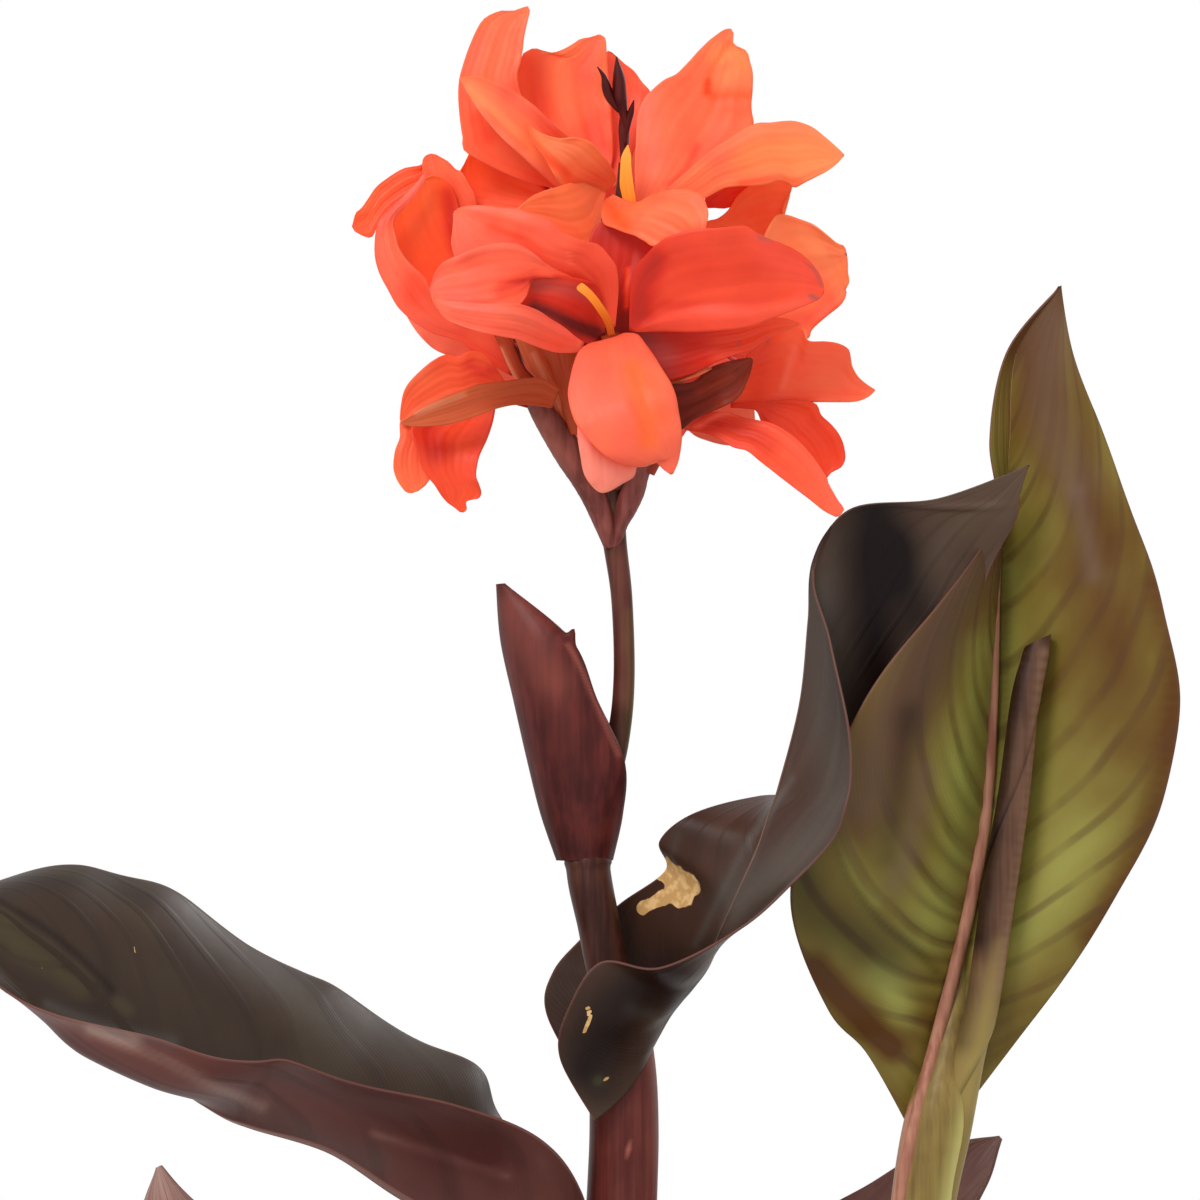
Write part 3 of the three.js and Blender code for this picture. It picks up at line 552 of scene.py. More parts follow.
# %% Petal finishes
ORANGE_FACE = [(0, (255, 142, 84)), (0.22, (255, 118, 64)), (0.45, (250, 82, 34)), (0.7, (214, 42, 12)), (1, (104, 14, 6))]
PINK_FACE = [(0, (255, 134, 116)), (0.22, (255, 106, 84)), (0.45, (242, 78, 56)), (0.7, (198, 44, 28)), (1, (96, 14, 8))]
BRONZE_FACE = [(0, (224, 150, 116)), (0.3, (204, 96, 56)), (0.6, (172, 62, 30)), (1, (84, 20, 10))]


def petal_finish():
    f = Finish("petal")
    along, across = f.along_across()
    veins = f.noise(1, 3, f.pair(across * 9, along * 1.3))
    cloud = f.noise(70, 3)
    shade = f.painted("shade") + (cloud - 0.5) * 0.16 + (veins - 0.5) * 0.06
    colour = f.mix(f.painted("blush") + (cloud - 0.5) * 0.5, f.ramp(shade, ORANGE_FACE), f.ramp(shade, PINK_FACE))
    colour = f.mix(f.painted("bruise"), colour, (138, 84, 84))
    skin = f.bump(veins, 0.0006, 0.15, f.bump(cloud, 0.0016, 0.3))
    return f.surface(Base_Color=colour, Roughness=0.5, Normal=skin, Specular_IOR_Level=0.3,
                     Subsurface_Weight=0.25, Subsurface_Scale=0.002)


def narrow_finish(name, stops, roughness=0.5):
    """Styles and true petals: narrow, with streaks along them."""
    f = Finish(name)
    along, across = f.along_across()
    streaks = f.noise(1, 3, f.pair(across * 3, along * 1.5))
    colour = f.ramp(f.painted("shade") + (streaks - 0.5) * 0.3, stops)
    skin = f.bump(streaks, 0.0004, 0.4)
    return f.surface(Base_Color=colour, Roughness=roughness, Normal=skin, Specular_IOR_Level=0.25)


PETAL = petal_finish()
STYLE = narrow_finish("style", [(0, (255, 178, 76)), (0.4, (255, 140, 40)), (1, (150, 46, 14))])
TRUE_PETAL = narrow_finish("true petal", BRONZE_FACE)
print("flower finishes:", [m.name for m in (PETAL, STYLE, TRUE_PETAL)])

# %% [markdown]
# ## Pot and soil
# A nursery pot is turned about its axis: a flat base, a wall that widens, a step and a rim. The soil is
# a bed with small crumbs, heaped a little round the stems.

# %% Pot and soil
FLOOR_SIDES = 96
POT_HIGH = np.array(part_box("pot")[1]) / MM
POT_BASE_RADIUS = 84.0
POT_WALL = 3.2
RIM_DROP = 22.0
RIM_LIP = 4.5
SOIL_TOP = 161.0
CRUMBS = 260


def wall_radius(z):
    """The pot wall's outside radius below the rim."""
    top = POT_HIGH[0] - RIM_LIP
    return POT_BASE_RADIUS + (top - POT_BASE_RADIUS) * z / (POT_HIGH[2] - RIM_DROP)


def rounded(centre, radius, start, stop, count=6):
    """Points of a rounded edge between two angles."""
    angles = np.linspace(start, stop, count)
    return [[centre[0] + radius * math.cos(a), centre[1] + radius * math.sin(a)] for a in angles]


def make_pot():
    height, rim = POT_HIGH[2], POT_HIGH[0]
    step = height - RIM_DROP
    foot = rounded((POT_BASE_RADIUS - 4, 4), 4, -1.57, 0)
    ledge = [[wall_radius(step), step - 1.5], [wall_radius(step) + 0.4, step - 0.4], [rim - 0.6, step + 0.6]]
    lip = [[rim, step + 2], [rim, step + 3], *rounded((rim - 3.2, height - 3.2), 3.2, 0, 1.57)]
    inner = [[rim - 5, height - 0.6], [rim - 6.2, height - 3], [wall_radius(step) - POT_WALL, step - 3]]
    floor = [[wall_radius(5) - POT_WALL, 5], [0, 5]]
    profile = [[0, 0], [60, 0], *foot, *ledge, *lip, *inner, *floor]
    return place_piece("pot_shell", [lathe(profile, 128)], POT, "pot", "pot")


def crumb(rng, radius):
    out, turn, size = radius * 0.95 * math.sqrt(rng.random()), 2 * np.pi * rng.random(), rng.uniform(1.2, 3.4)
    spot = np.array([out * math.cos(turn), out * math.sin(turn), SOIL_TOP + 6.5 - 5.5 * (out / radius) ** 2])
    reach = np.array([size, 0, 0])
    return limb([[*(spot - reach), 0.4], [*spot, size * rng.uniform(0.6, 0.9)], [*(spot + reach), 0.4]], 4, 6)


def make_soil():
    rng = np.random.default_rng(7)
    radius = wall_radius(SOIL_TOP) - POT_WALL - 0.6
    rings = 46
    dome = [[radius * (1 - k / rings), SOIL_TOP + 0.5 + 7 * math.sin(1.57 * k / rings)] for k in range(1, rings)]
    bed = lathe([[0, 6], [wall_radius(6) - POT_WALL - 1.6, 6], [radius, SOIL_TOP - 1], *dome, [0, SOIL_TOP + 7.5]], 150)
    top = bed.points[:, 2] > SOIL_TOP
    bed.points[top, 2] += np.clip(rng.normal(0, 1, top.sum()), -2, 2.2)
    return place_piece("soil_bed", [bed, *(crumb(rng, radius) for _ in range(CRUMBS))], SOIL, "soil", "soil")


def make_floor():
    disc = bpy.data.meshes.new("floor")
    turn = 2 * np.pi * np.arange(FLOOR_SIDES) / FLOOR_SIDES
    rim = np.stack([FLOOR_RADIUS * np.cos(turn), FLOOR_RADIUS * np.sin(turn), 0 * turn], 1)
    disc.from_pydata(rim.tolist(), [], [list(range(FLOOR_SIDES))])
    f = Finish("floor")
    grey = f.mix(f.noise(3, 2), (214, 214, 212), (222, 222, 220))
    disc.materials.append(f.surface(Base_Color=grey, Roughness=0.8))
    floor = bpy.data.objects.new("floor", disc)
    bpy.context.scene.collection.objects.link(floor)


make_floor()
pot_shell = make_pot()
soil_bed = make_soil()
print("pot", len(pot_shell.data.polygons), "faces, soil", len(soil_bed.data.polygons), "faces")

# %% [markdown]
# ## Stems
# The stalk stands in the soil and bends a little at each joint, where a ring shows. Leaf sheaths sleeve
# it, one above the other. The shoot beside it is green and salmon, with sheaths round its foot.

# %% Stalk, buds and sheaths
STALK_LINE = [
    [-45, 0, 132, 8], [-42, 0, 220, 8], [-38, 0, 300, 8], [-36, 0, 360, 8], [-40, 0, 398, 8], [-45, 0, 426, 8],
    [-49.5, 0, 452, 8.2], [-45.5, 0, 473, 6.0], [-38.5, 0, 497, 4.4], [-36, 0, 520, 4.0], [-36.8, 0, 550, 4.0],
    [-39.5, 0, 572, 4.5], [-41.2, 0, 591, 5.4], [-41.4, 0, 612, 4.8], [-40.2, 0, 648, 4], [-37.6, 0, 690, 2.8],
    [-36.2, -1, 714, 1.8],
]
STALK_PAINT = dict(
    green=(0, ([(-34, 495), (-33, 520), (-34, 545)], 2.2, 0.45), ([(-41, 575), (-40, 585)], 2, 0.3)),
    dark=(0, ([(-44, 590), (-43, 570)], 2, 0.3), ([(-48, 440), (-42, 410)], 6, 0.3)),
    salmon=(0, ([(-37, 565), (-36, 540), (-36, 515)], 5, 0.16), ([(-42, 581), (-39, 576)], 0.7, 0.3), ([(-36, 400), (-31, 425)], 1.5, 0.25)),
)
SHEATHS = {
    "leaf_back_left": (152, 204.8, 16.4, 16), "leaf_low_left": (205.2, 226.8, 15.8, 15.4),
    "leaf_low_right": (227.2, 251.8, 15.2, 14.8), "leaf_left": (252.2, 288.8, 14.6, 14.2),
    "leaf_twisted": (289.2, 392, 13.6, 12.6),
}
SHEATH_PAINT = dict(
    dark=(0, ([(-49, 392), (-48, 360), (-49, 325)], 3, 0.5), ([(-42, 395), (-38, 375)], 4, 0.4)),
    salmon=(0, ([(-26, 395), (-25, 360), (-26, 325)], 2.5, 0.22), ([(-36, 347), (-34, 344)], 0.5, 1.0)),
)
SHOOT_LINE = [
    [56, 8, 132, 10], [60, 8, 190, 11], [71, 9, 270, 12], [76, 10, 325, 11.4], [81.2, 11, 354, 11.6], [85, 13.5, 372, 9],
    [88.5, 17, 392, 5.5], [92, 20, 412, 2.5], [94, 21.5, 425, 1],
]
SHOOT_PAINT = dict(
    salmon=(0, ([(72, 360), (66, 325)], 2.5, 0.9), ([(60, 300), (54, 260)], 4, 0.8)),
    green=(0, ([(100, 385), (92, 352), (86, 322)], 4.2, 1.0), ([(80, 290), (74, 250)], 5, 0.7)),
    dark=(0, ([(77, 356), (72, 325)], 2, 0.2)),
)
MIDRIB_LINE = [
    [106, 18, 580, 0.8], [104.6, 21, 550, 1.5], [103.4, 22.6, 512, 2.1], [100.9, 22.6, 471, 2.3], [95, 18, 437, 2.4],
    [89, 15, 412, 2.5], [81.8, 11, 385, 2.6], [75.4, 5, 362, 2.6], [71.2, 2.6, 345, 2.7], [67.6, 3, 325, 2.7], [63, 3, 290, 1.6],
]
SHOOT_SHEATHS = {"leaf_back_right": (152, 188.8, 15, 15), "leaf_front_right": (189.2, 218, 14.6, 14.4)}
BUDS = [  # rows of [x, y, z, radius] from the middle of the head
    [(4.8, -1, 59, 0.6), (4.6, -1.5, 66, 1.2), (3.6, -2.5, 71, 1.8), (2.4, -4, 77, 2.6), (2, -5, 84, 2.2), (1.2, -6, 91.4, 0.2)],
    [(2.2, -3, 71, 0.8), (-1.2, -4, 76, 1.7), (-2.6, -5, 80, 1.8), (-3.6, -6, 84, 1), (-6, -7, 87.5, 0.2)],
    [(5, -1, 62, 0.6), (5.6, -2, 67, 1.2), (6.6, -3, 71, 1.2), (7.7, -4, 75.2, 0.2)],
    [(4, 1, 46, 0.8), (4, 2, 58, 1.7), (4, 3, 66, 2.0), (4, 5, 78, 0.2)],
]
JOINTS = {452: 0.9, 591: 0.5, 398: 0.4}


def sheath(line, levels):
    """A sheath round a stem between two levels, its radius changing evenly from the lower level to the upper."""
    bottom, top, below, above = levels
    heights = smooth_rows(line, np.linspace(0, 1, 400))[:, 2]
    rows = []
    for z in np.linspace(bottom, top, 6):
        x, y = smooth_rows(line, np.array([np.interp(z, heights, np.linspace(0, 1, 400))]))[0, :2]
        rows.append([x, y, z, below + (above - below) * (z - bottom) / (top - bottom)])
    return limb(rows, 24, 48, 5, 0.006)


def bud_shell(rows):
    return limb([[*(HEAD + row[:3]), row[3]] for row in rows], 24, 14, 3, 0.06)


def stalk_shell():
    shell = limb(STALK_LINE, 260, 36)
    axis = smooth_rows(STALK_LINE, shell.where[:, 0])[:, :3]
    for level, swell in JOINTS.items():
        shell.points += unit(shell.points - axis) * (swell * np.exp(-(((axis[:, 2:] - level) / 1.6) ** 2)))
    return shell


stalk = place_piece("stalk_stem", [brush(stalk_shell(), **STALK_PAINT)], STALK, "stalk", "stalk")
buds = place_piece("stalk_buds", [bud_shell(bud) for bud in BUDS], BUD, "stalk", "stalk")
for name, levels in SHEATHS.items():
    sleeve = brush(sheath(STALK_LINE, levels), **SHEATH_PAINT)
    place_piece("sheath_of_" + name, [sleeve], SHEATH, "leaf_bronze", name)
for name, levels in SHOOT_SHEATHS.items():
    place_piece("sheath_of_" + name, [sheath(SHOOT_LINE, levels)], SHEATH, "leaf_bronze", name)
shoot_shell = brush(limb(SHOOT_LINE, 60, 48, 4, 0.01), **SHOOT_PAINT)
shoot = place_piece("shoot_stem", [shoot_shell], SHOOT, "leaf_green", "leaf_upright")
midrib = place_piece("upright_midrib", [limb(MIDRIB_LINE, 120, 20)], MIDRIB, "leaf_green", "leaf_upright")
print("stalk", len(stalk.data.polygons), "faces, buds", len(buds.data.polygons), "faces")

# %% [markdown]
# ## Leaves
# A leaf blade is stretched over three curves: its midrib and its two edges. Between them it bulges, small
# waves run along the edge, and pleats follow the veins, deepest beside the midrib.

# %% Leaf blades
BLADE = 0.45  # half the thickness of a blade


def blade(stations, rows, columns, rib, ripple, slant, pitch, pleat, crest=0.5, waves=7):
    """A closed blade over stations of [rib, near edge, far edge, near bulge, far bulge]."""
    u, v = np.linspace(0, 1, rows), np.linspace(-1, 1, columns)
    row = smooth_rows(stations, u)[:, None, :]
    s, near = np.abs(v)[None, :, None], (v < 0)[None, :, None]
    reach = np.where(near, row[..., 3:6], row[..., 6:9]) - row[..., :3]
    outward = unit(np.cross(directions(stations, u)[:, None, :], reach))
    along = u[:, None, None]
    fade = np.sin(np.pi * along)
    wave = ripple * s * s * np.sin(2 * np.pi * waves * along + np.where(near, 0, 1.3)) * fade
    depth = np.where(near, pleat[0], pleat[1]) * np.exp(-(((s - 0.22) / 0.25) ** 2) - ((along - crest) / 0.25) ** 2)
    pleats = depth * np.sin(2 * np.pi * pitch * vein_count(along, s, np.where(near, slant[0], slant[1])))
    lift = 4 * s * (1 - s) * np.where(near, row[..., 9:10], row[..., 10:11]) + wave
    grid = row[..., :3] + s * reach + outward * (np.where(near, lift, -lift) + pleats)
    keel = rib * (1 - u[:, None]) ** 1.5 * np.exp(-((v[None, :] / 0.035) ** 2))
    shell = sheet(grid, BLADE + keel * 0.4, BLADE + keel)
    # Painted shade: the folds of the pleats are darkened in colour.
    shell.paint["furrow"] = np.tile(0.6 * np.clip(-pleats, 0, 1).ravel(), 2)
    return shell


UPRIGHT_LEAF = [
    [77, 15, 356, 71, 12, 352, 91, 17, 356, 0, 0], [82.5, 17, 385, 55, 8, 380, 112, 15, 384, 2, 2],
    [90, 20, 412, 40, 0, 397, 129, 10, 407, 5, 4], [96, 23, 437, 26, -9, 437, 149, 3, 439, 8, 6],
    [102, 26, 471, 34, -19, 474, 166, -2, 475, 9, 8], [105, 28, 512, 53, -24, 512, 172, -4, 512, 8, 9],
    [106, 26, 550, 82, -14, 550, 166, -2, 548, 5, 8], [107.5, 22, 580, 103, 8, 578, 155, 2, 582, 1, 6],
    [109.5, 18, 610, 102, 11, 610, 143.5, 6, 614, 0, 4], [112, 16, 643, 108, 13, 643, 133, 10, 643, 0, 1],
    [128, 14, 668, 127.5, 13.5, 667, 128.7, 14.5, 668.5, 0, 0],
]
# On the upright leaf a painted grey sheen of reflected sky lies over the upper left half, and the dark strokes are
# painted shade: a band down the left half and the shade under the sheen's lower edge.
UPRIGHT_PAINT = dict(
    green=(0.42, ([(100, 530), (92, 490), (87, 455), (80, 428)], 9, 0.4, -1), ([(44, 468), (50, 450), (58, 438)], 4, 0.3, -1),
           ([(61, 410), (68, 396)], 6, 0.5, -1), ([(99, 572), (79, 535), (62, 498), (52, 470)], 12, -0.4, -1),
           ([(36, 412), (50, 396), (64, 382)], 5, -0.6, -1), ([(118, 560), (120, 500), (118, 460)], 9, 0.1, 1),
           ([(109, 560), (107, 512), (103, 465)], 5, 0.3, 1), ([(106, 420), (120, 434), (136, 462)], 13, 0.35, 1),
           ([(140, 560), (150, 530), (158, 500)], 14, -0.3, 1), ([(164, 556), (171, 512), (160, 462), (140, 424)], 6, -0.4, 1),
           ([(112, 655), (128, 666)], 14, -0.5), ([(120, 640), (130, 605), (146, 575)], 12, -0.35)),
    cast=(0, ([(99, 572), (79, 535), (62, 498), (54, 474)], 13, 0.5, -1), ([(76, 485), (72, 460), (66, 444)], 5, 0.5, -1),
          ([(128, 655), (122, 625), (132, 596)], 9, 0.4), ([(134, 590), (140, 560)], 4, 0.5, 1)),
    dark=(0, ([(99, 565), (84, 535), (70, 505)], 9, 0.25, -1), ([(28, 450), (36, 434), (50, 424), (62, 416)], 11, 0.6, -1),
          ([(43, 463), (48, 446), (60, 430), (72, 420), (81, 411)], 2, 0.35, -1),
          ([(107, 560), (107, 512), (104, 470)], 2, 0.3, 1), ([(71, 507), (66, 475), (63, 454)], 5, 0.36, -1)),
)
TWISTED_LEAF = [
    [-25, -5, 384, -47, -20, 356, -50, 17, 366, 3, 3], [-19.5, -8, 394, -60, -28, 380, -65, 24, 393, 7, 6],
    [-15, -10, 400, -57, -35, 398, -63, 26, 409, 9, 6], [-10, -13, 406, -45, -41, 416, -52, 24, 422, 8, 5],
    [-4.5, -17, 414, -22.5, -46, 414, -37, 13, 436, 4, 3], [1, -22, 428, 8, -48, 430, -20, 1, 449, 1, 2],
    [7, -25, 442, 28, -46, 447, -22.5, -6, 460, 1, 1], [14, -24, 458, 41, -45, 462, -11, -8, 469.5, 1, 0],
    [18, -22, 470, 46, -45, 473, 15, 4, 476, 2, 0], [22, -20, 481, 47.5, -44, 485, 45, 4, 480, 4, -4],
    [30, -15, 512, 46.6, -41, 506, 72, 2, 515, 4, -6], [33, -10, 542, 40, -28, 535, 94, 3, 545, 3, -7],
    [35, -4, 565, 35, -8, 560, 103, 2, 565, 0, -6], [49, 0, 584, 49, 1.5, 582, 111, -4, 580.5, 0, -3],
    [82, -1, 588, 82, 0, 586.5, 112, -6, 589, 0, -1], [115, -7, 600, 114.6, -6.5, 599.4, 115.4, -7.5, 600.5, 0, 0],
]
# On the twisted leaf the grey strokes paint a sheen on the outer strip and thin highlights along the curl. The dark
# strokes paint shade deep in the curled pocket and give the front lobe its own dark brown.
TWISTED_PAINT = dict(
    green=(0.48, ([(-15, 470), (0, 462), (14, 458)], 8, -0.25), ([(-46, 382), (-36, 398), (-20, 406)], 16, -0.35), ([(-15, 468), (4, 472)], 7, 0.15), ([(-34, 397), (-24, 393)], 3, 0.5), ([(-46, 370)], 2.5, 0.9)),
    cast=(0, ([(36, 550), (41, 505), (43, 475), (30, 456), (8, 438)], 10, 0.8), ([(44, 574), (42, 560)], 3, 0.4),
          ([(-9, 421), (6.5, 452), (19, 475)], 1.6, 0.5), ([(14, 463), (27, 483)], 1.4, 0.5),
          ([(-21, 409), (-16, 410)], 1.6, 0.8), ([(-34, 396), (-24, 394)], 2.5, 0.4), ([(-16, 462), (-18, 455)], 2, 0.3)),
    dark=(0, ([(58, 582), (57, 545), (61, 512)], 14, 1.0), ([(68, 568), (76, 545)], 9, 0.6),
          ([(-46, 382), (-36, 398), (-20, 406)], 16, 0.8), ([(-52, 372), (-45, 365)], 7, 0.4), ([(-14, 466), (0, 458)], 5, 0.3), ([(-62, 400), (-55, 415)], 5, 0.3),
          ([(-6, 420), (8, 430), (24, 442)], 3, 0.3)),
    dry=(0, ([(-21, 449), (-16, 445), (-12, 443), (-14, 439)], 5.0, 1.0), ([(-29, 434.5), (-22, 438)], 2.8, 1.0),
         ([(-49.5, 397), (-48.8, 394), (-49.8, 391), (-50.6, 388)], 0.8, 1.0), ([(-44, 369), (-42, 371)], 1.0, 0.6)),
)
LEFT_LEAF = [
    [-46, -5, 287, -45, -12, 297, -49, 8, 299, 0, 0], [-68, -12, 300, -52, -28, 330, -71, 11, 338, 3, 4],
    [-94, -18, 314, -67, -40, 350, -84, 13, 357, 5, 6], [-120, -24, 329, -98, -50, 364, -90, 17, 373, 6, 8],
    [-146, -30, 346, -129, -58, 370, -112, 18, 383, 6, 9], [-174, -36, 355, -155, -66, 380, -141, 16, 401, 3, 9],
    [-187.5, -39.5, 361, -171, -71, 381, -156.5, 13, 410, -3, 9],
    [-204, -43, 374, -197, -78, 386, -177, 9, 419, -12, 8], [-224, -47, 396, -221, -82, 394, -201, 0, 439, -17, 6],
    [-238, -50, 413, -243, -83, 398, -221, -8, 446, -13, 5], [-255, -56, 427, -261, -80, 407, -240, -20, 451, -7, 4],
    [-272, -61, 437, -279, -77, 419, -264, -34, 447, 0, 2], [-306, -70, 430, -305.6, -71, 429, -306.4, -69, 431, 0, 0],
]
# On the left leaf the grey strokes paint a sheen of reflected sky near the far edge, and the thin dark line down the
# midrib is painted shade in its groove.
LEFT_PAINT = dict(
    green=(0.38, ([(-268, 426), (-254, 415), (-240, 405)], 6, 0.28), ([(-226, 399), (-222, 396)], 3, 0.3)),
    cast=(0.05, ([(-172, 414), (-155, 398), (-138, 384)], 8, 0.4), ([(-215, 445), (-190, 430)], 4, 0.25),
          ([(-185, 362), (-155, 350), (-130, 340)], 6, 0.35), ([(-252, 398), (-232, 390), (-205, 384)], 2.5, 0.5)),
    dark=(0, ([(-270, 437), (-255, 428), (-241, 417), (-228, 404)], 1.6, 0.6), ([(-268, 443), (-240, 445), (-215, 438)], 5, 0.4),
          ([(-246, 413), (-234, 405)], 1.2, 0.4), ([(-206, 420), (-180, 396), (-168, 385)], 7, 0.2)),
    pale=(0.2, ([(-258, 402), (-240, 393), (-220, 386)], 4, 0.55), ([(-235, 389), (-212, 379), (-190, 368), (-172, 360)], 3, 0.5), ([(-165, 376), (-127, 360), (-90, 344)], 7, -0.3),
          ([(-130, 350), (-105, 342), (-80, 334)], 2, 0.3)),
    dry=(0, ([(-219.6, 420), (-219, 417)], 0.7, 0.62), ([(-255, 414), (-254, 412)], 0.6, 0.6), ([(-230, 398)], 0.8, 0.6)),
)
ARCHED_LEAVES = {
    "low_left": ([[-46, -8, 222], [-84, -38, 244], [-134, -74, 266], [-184, -108, 296], [-205, -98, 344.5]], 88, 0.35, 1.4, -1),
    "low_right": ([[-40, 10, 247], [-12, 34, 260], [30, 52, 266], [84, 58, 314], [108, 56, 344.6]], 98, 0.35, -0.8, -1),
    "front_right": ([[64, 0, 213], [96, -34, 246], [146, -66, 262], [200, -92, 244], [238, -108, 206]], 92, 0.3, 0.15),
    "back_left": ([[-48, 8, 200], [-74, 52, 246], [-106, 98, 272], [-136, 142, 262], [-156, 182, 224]], 92, 0.32, -0.1),
    "back_right": ([[60, 14, 184], [84, 64, 238], [106, 112, 268], [128, 156, 258], [146, 196, 216]], 90, 0.32, 0.1),
}


def arched_stations(path, width, rise, roll, face=1, count=10):
    """Stations of a leaf that arches along a few points, its halves raised. Face -1 turns it over."""
    u = np.linspace(0, 1, count)
    centre = smooth_rows(path, u)
    tangent = directions(path, u)
    side = unit(np.cross(tangent, [0, 0, 1]))
    up = np.cross(side, tangent)
    turn = (roll * u)[:, None]
    side, up = side * np.cos(turn) + up * np.sin(turn), up * np.cos(turn) - side * np.sin(turn)
    lance = np.sin(np.pi * (0.08 + 0.92 * u) ** 0.8) ** 0.85
    half = np.maximum(width / 2 * lance, 1)[:, None]
    spread, lifted = face * side * half * math.cos(rise), centre + up * half * math.sin(rise)
    return np.concatenate([centre, lifted - spread, lifted + spread, -face * half * 0.12, -face * half * 0.12], 1)


upright_shell = brush(blade(UPRIGHT_LEAF, 250, 111, 3.4, 0.8, (0.42, 0.34), 34, (0.7, 0.12), 0.26), **UPRIGHT_PAINT)
upright = place_piece("upright_blade", [upright_shell], GREEN, "leaf_green", "leaf_upright")
twisted_shell = brush(blade(TWISTED_LEAF, 250, 91, 1.0, 0.5, (0.55, 0.55), 12, (0.08, 0.08)), **TWISTED_PAINT)
twisted = place_piece("twisted_blade", [twisted_shell], TWISTED, "leaf_bronze", "leaf_twisted")
left_shell = brush(blade(LEFT_LEAF, 240, 91, 2.6, 1.0, (0.42, 0.42), 12, (0.05, 0.06)), **LEFT_PAINT)
left_leaf = place_piece("left_blade", [left_shell], BRONZE, "leaf_bronze", "leaf_left")
for name, shape in ARCHED_LEAVES.items():
    shell = blade(arched_stations(*shape), 110, 45, 2.4, 1.2, (0.42, 0.42), 12, (0.12, 0.12))
    shell.paint.update(green=np.full(len(shell.points), 0.4), pale=0.35 + 0.6 * shell.where[:, 0] ** 4)
    place_piece(name + "_blade", [shell], BRONZE, "leaf_bronze", "leaf_" + name)
print("upright leaf", len(upright.data.polygons), "faces")

# %% [markdown]
# ## Rolled leaf and bract
# The young leaf is a blade still rolled into a pointed tube: its edge winds up the tube as a thin ridge.
# The bract is a stiff sheath that stands off the stalk, folded along a keel, with fine ribs.

# %% Rolled leaf and bract
ROLLED_LINE = [
    [77, 11, 285, 5], [83.5, 12, 325, 5.6], [89, 12, 350, 5.8], [94, 8, 378, 6], [98.7, 4, 400, 6.2],
    [104, 2, 437, 6.6], [110.2, 2, 475, 6.0], [114.6, 3, 512, 5.5], [118, 4, 527, 5.1], [119.8, 4.5, 535, 4.8],
]
ROLLED_PAINT = dict(
    dark=(0, ([(114, 532), (108, 505), (103, 470), (98, 440), (96, 424)], 5.5, 0.85), ([(93, 404), (90, 385)], 5, 0.4), ([(121, 538)], 3, 0.5)),
    salmon=(0, ([(122, 530), (119, 500), (115, 465), (110, 435), (105, 405)], 2.6, 0.55)),
    green=(0, ([(105, 420), (102.5, 405), (99.5, 388), (96, 362)], 4, 0.4)),
)
ROLLED_GREEN = (418, 376)  # between these heights the rolled leaf turns from brown to green
WRAP_TURNS = 2.6
BRACT_ROWS = [
    [-61, 0, 452.5, 28, 2.9], [-67, 0, 470, 39, 2.6], [-72, 0, 490, 45, 2.25], [-77, 0, 512, 39, 2.1],
    [-82, 0, 535, 33, 2.0], [-83.6, 0, 556, 4, 1.6],
]
BRACT_FLAT = 0.25
# The bract's broad salmon stroke paints a pinkish sheen on its upper part.
BRACT_PAINT = dict(
    dark=(0, ([(-70, 470), (-62, 455)], 9, 0.4), ([(-62, 500), (-55, 480)], 7, 0.25), ([(-84, 540), (-84, 552)], 3, 0.2)),
    salmon=(0, ([(-78, 548), (-70, 530), (-62, 520)], 8, 0.3), ([(-57, 533), (-52.5, 525), (-46, 510), (-38, 492)], 1.0, 0.6)),
)
TOOTH = (1.2, 4.2, 534.9, 1.3)  # on the bract's edge: how far it stands out and up, its place and its half width
ROLLED_CUT = 0.7  # slope that turns the rolled leaf's flat end into a slanting one


def rolled_shell():
    """The tube, its columns wound round it, with a ridge where the blade's edge lies along one of them."""
    shell = limb(ROLLED_LINE, 220, 64)
    up, turn = shell.where.T
    axis = smooth_rows(ROLLED_LINE, up)[:, :3]
    spin, arm = (2 * np.pi * WRAP_TURNS * up)[:, None], shell.points - axis
    arm = arm * np.cos(spin) + np.cross(directions(ROLLED_LINE, up), arm) * np.sin(spin)
    lap = np.where(turn < 0.93, turn / 0.93, (1 - turn) / 0.07)
    shell.points = axis + arm + unit(arm) * (0.8 * (lap - 0.5) * (1 - up**4))[:, None]
    shell.points[:, 2] += ROLLED_CUT * (shell.points[:, 0] - axis[:, 0]) * np.clip(up * 12 - 11, 0, 1)
    brush(shell, **ROLLED_PAINT)
    low, top = ROLLED_GREEN[1], ROLLED_GREEN[0]
    shell.paint["green"] += 0.8 * np.clip((top - shell.points[:, 2]) / (top - low), 0, 1)
    # A dark line of painted shade along the lap, where the blade's edge overlaps the tube.
    shell.paint["dark"] += 0.4 * np.exp(-(((turn - 0.99) / 0.025) ** 2))
    return shell


def bract_shell():
    u, v = np.linspace(0, 1, 170), np.linspace(-1, 1, 61)
    rows = smooth_rows(BRACT_ROWS, u)[:, None, :]
    width, turn = rows[..., 3], rows[..., 4] - BRACT_FLAT
    angle = BRACT_FLAT + turn * np.abs(v)[None, :]
    out = width * (np.sin(angle) - math.sin(BRACT_FLAT)) / turn
    inward = width * (math.cos(BRACT_FLAT) - np.cos(angle)) / turn
    ribs = 0.18 * np.sin(46 * np.abs(v))[None, :] * (1 - u[:, None])
    tooth = np.exp(-(((rows[..., 2] - TOOTH[2]) / TOOTH[3]) ** 2)) * np.abs(v) ** 24
    across = rows[..., 0] + inward + TOOTH[0] * tooth
    grid = np.stack([across, (out + ribs) * np.sign(v)[None, :], rows[..., 2] + TOOTH[1] * tooth], -1)
    return brush(sheet(grid, BLADE), **BRACT_PAINT)


